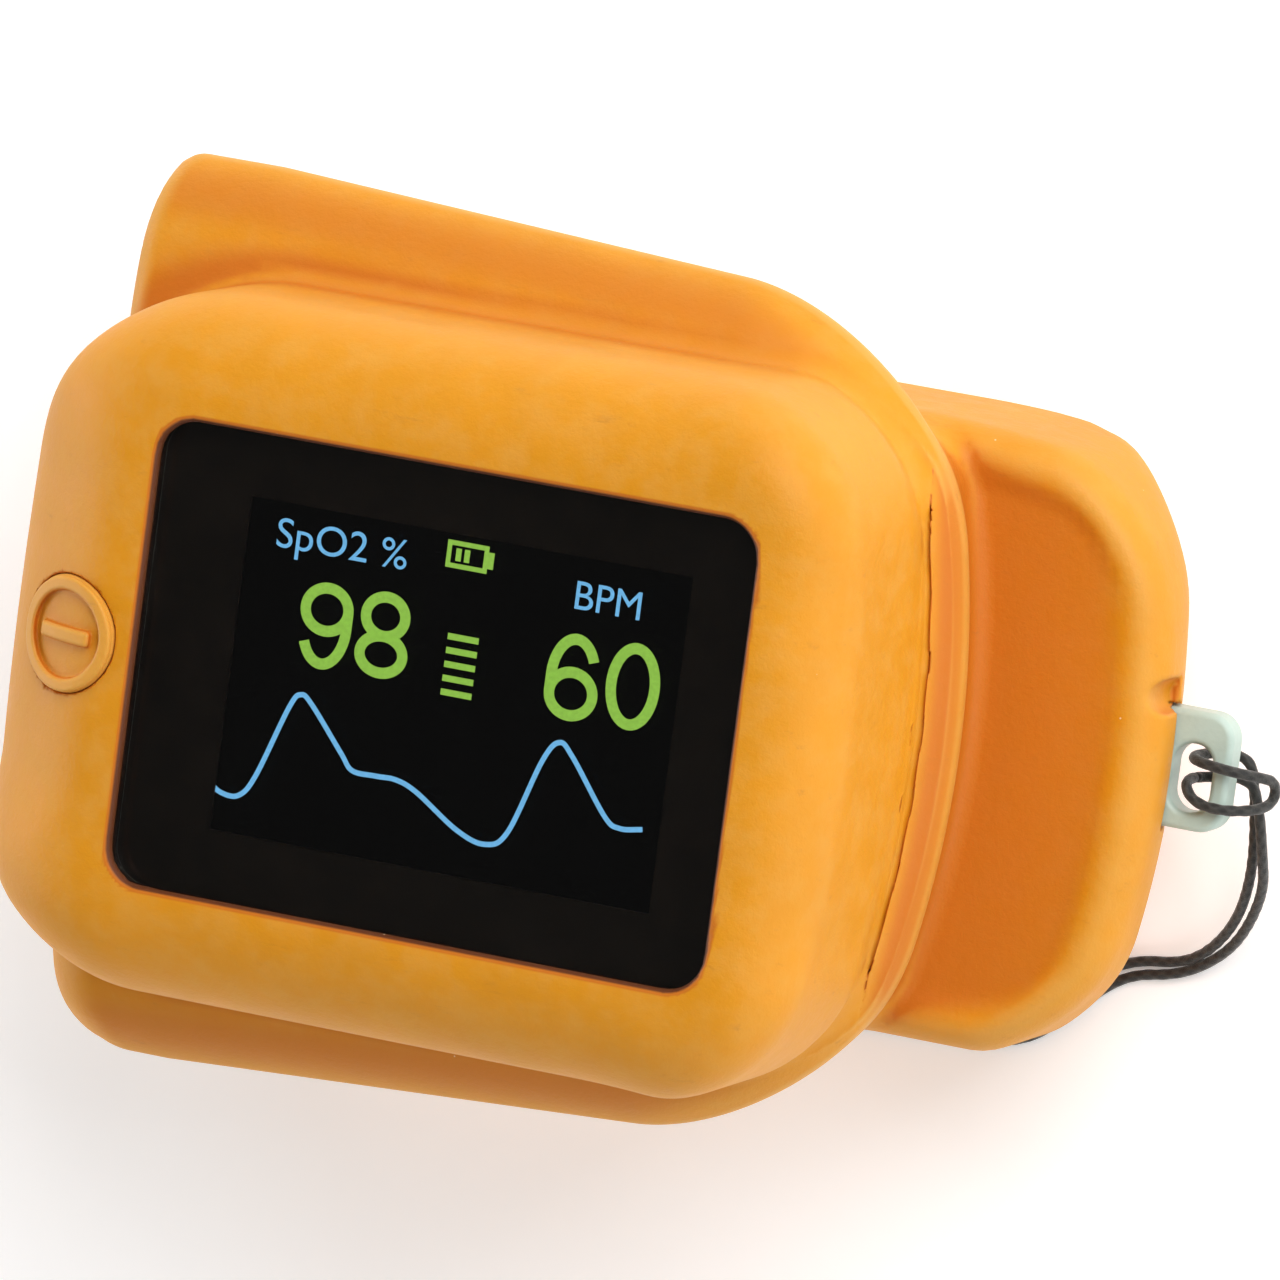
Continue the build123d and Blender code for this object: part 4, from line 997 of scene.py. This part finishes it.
def eight(cx, cy, w, h):
    """A wider ring below a narrower one, which share a stroke."""
    low, high = 0.55 * h, 0.45 * h + DIGIT_STROKE
    return [ellipse(cx, cy - h / 2 + low / 2, w, low), ellipse(cx, cy + h / 2 - high / 2, w - 0.2, high)]


def bar(cx, cy, w, h):
    """Solid rectangle."""
    return ribbon([(cx - w / 2, cy), (cx + w / 2, cy)], h)


def frame_bars(cx, cy, w, h, stroke):
    """Open rectangle from four bars that meet end to side."""
    side = w / 2 - stroke / 2
    rail = h / 2 - stroke / 2
    return [
        bar(cx, cy + rail, w, stroke), bar(cx, cy - rail, w, stroke),
        bar(cx - side, cy, stroke, h - 2 * stroke), bar(cx + side, cy, stroke, h - 2 * stroke),
    ]


def caption(name, words, left, low, size, stretch, finish):
    """Plain sans lettering as a flat mesh, stretched along the line."""
    text = bpy.data.curves.new(name, "FONT")
    text.body = words
    text.size = size * MM
    text.resolution_u = 6
    holder = bpy.data.objects.new(name, text)
    bpy.context.scene.collection.objects.link(holder)
    mesh = bpy.data.meshes.new_from_object(holder)
    bpy.data.objects.remove(holder)
    place = Matrix.Translation((left * MM, low * MM, GRAPHICS_Z * MM))
    mesh.transform(place @ Matrix.Diagonal((stretch, 1, 1, 1)))
    mesh.materials.clear()
    mesh.materials.append(finish)
    made = bpy.data.objects.new(name, mesh)
    bpy.context.scene.collection.objects.link(made)
    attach(made, "upper_jaw")
    return made


green_glow = glow("display_green", (0.265, 0.515, 0.070, 1.0), 1.0)
blue_glow = glow("display_blue", (0.160, 0.460, 0.780, 1.0), 1.0)
# Painted glint along the display's edges, made to glow.
glint_glow = glow("display_edge_glint", (0.11, 0.125, 0.10, 1.0), 1.0)

# The two readings, the strength bars and the battery sign, each placed by its middle.
DIGIT_W, DIGIT_H = 2.95, 4.5
STRENGTH_X, STRENGTH_TOP_Y, STRENGTH_PITCH, STRENGTH_BARS = -3.58, 3.42, 0.72, 5
BATTERY_Y = 7.62
digits = nine(-11.20, 2.74, DIGIT_W, DIGIT_H) + eight(-7.95, 2.84, DIGIT_W, DIGIT_H)
digits += six(2.62, 2.50, DIGIT_W, DIGIT_H) + zero(5.92, 2.60, DIGIT_W, DIGIT_H)
digits += [
    bar(STRENGTH_X, STRENGTH_TOP_Y - STRENGTH_PITCH * step, 1.72, 0.33) for step in range(STRENGTH_BARS)
]
digits += frame_bars(-3.93, BATTERY_Y, 2.3, 1.42, 0.25) + [bar(-2.62, 7.60, 0.32, 0.86)]
digits += [bar(-4.42, BATTERY_Y, 0.30, 0.66), bar(-3.95, BATTERY_Y, 0.30, 0.66)]
graphics_piece("display_digits", digits, green_glow)

# The pulse wave, from front to rear.
WAVE_KNOTS = [
    (-16.55, -6.25), (-15.75, -6.75), (-14.75, -6.72), (-13.95, -5.55), (-12.60, -1.75), (-12.03, -0.98),
    (-11.35, -1.40), (-9.45, -3.55), (-8.70, -4.35), (-7.40, -4.40), (-6.22, -4.40), (-5.00, -4.85),
    (-2.60, -6.35), (-0.95, -6.80), (0.20, -5.95), (1.55, -2.05), (2.35, -0.92), (3.20, -1.55),
    (5.30, -4.20), (6.20, -4.68), (7.45, -4.52),
]
graphics_piece("display_wave", [ribbon(smooth_line(WAVE_KNOTS), WAVE_STROKE)], blue_glow)

# Painted glint: faint glowing lines along the display's lower and front edges, standing in for light caught
# there.
lower_edge = bar(-4.75, -9.02, 24.3, 0.10)
front_edge = ribbon([(-16.95, 8.6), (-16.95, -9.07)], 0.16)
graphics_piece("display_edge_glint", [lower_edge, front_edge], glint_glow)
caption("caption_spo2", "SpO2 %", -14.55, 6.35, 2.2, 1.04, blue_glow)
caption("caption_bpm", "BPM", 2.05, 6.0, 2.1, 1.0, blue_glow)
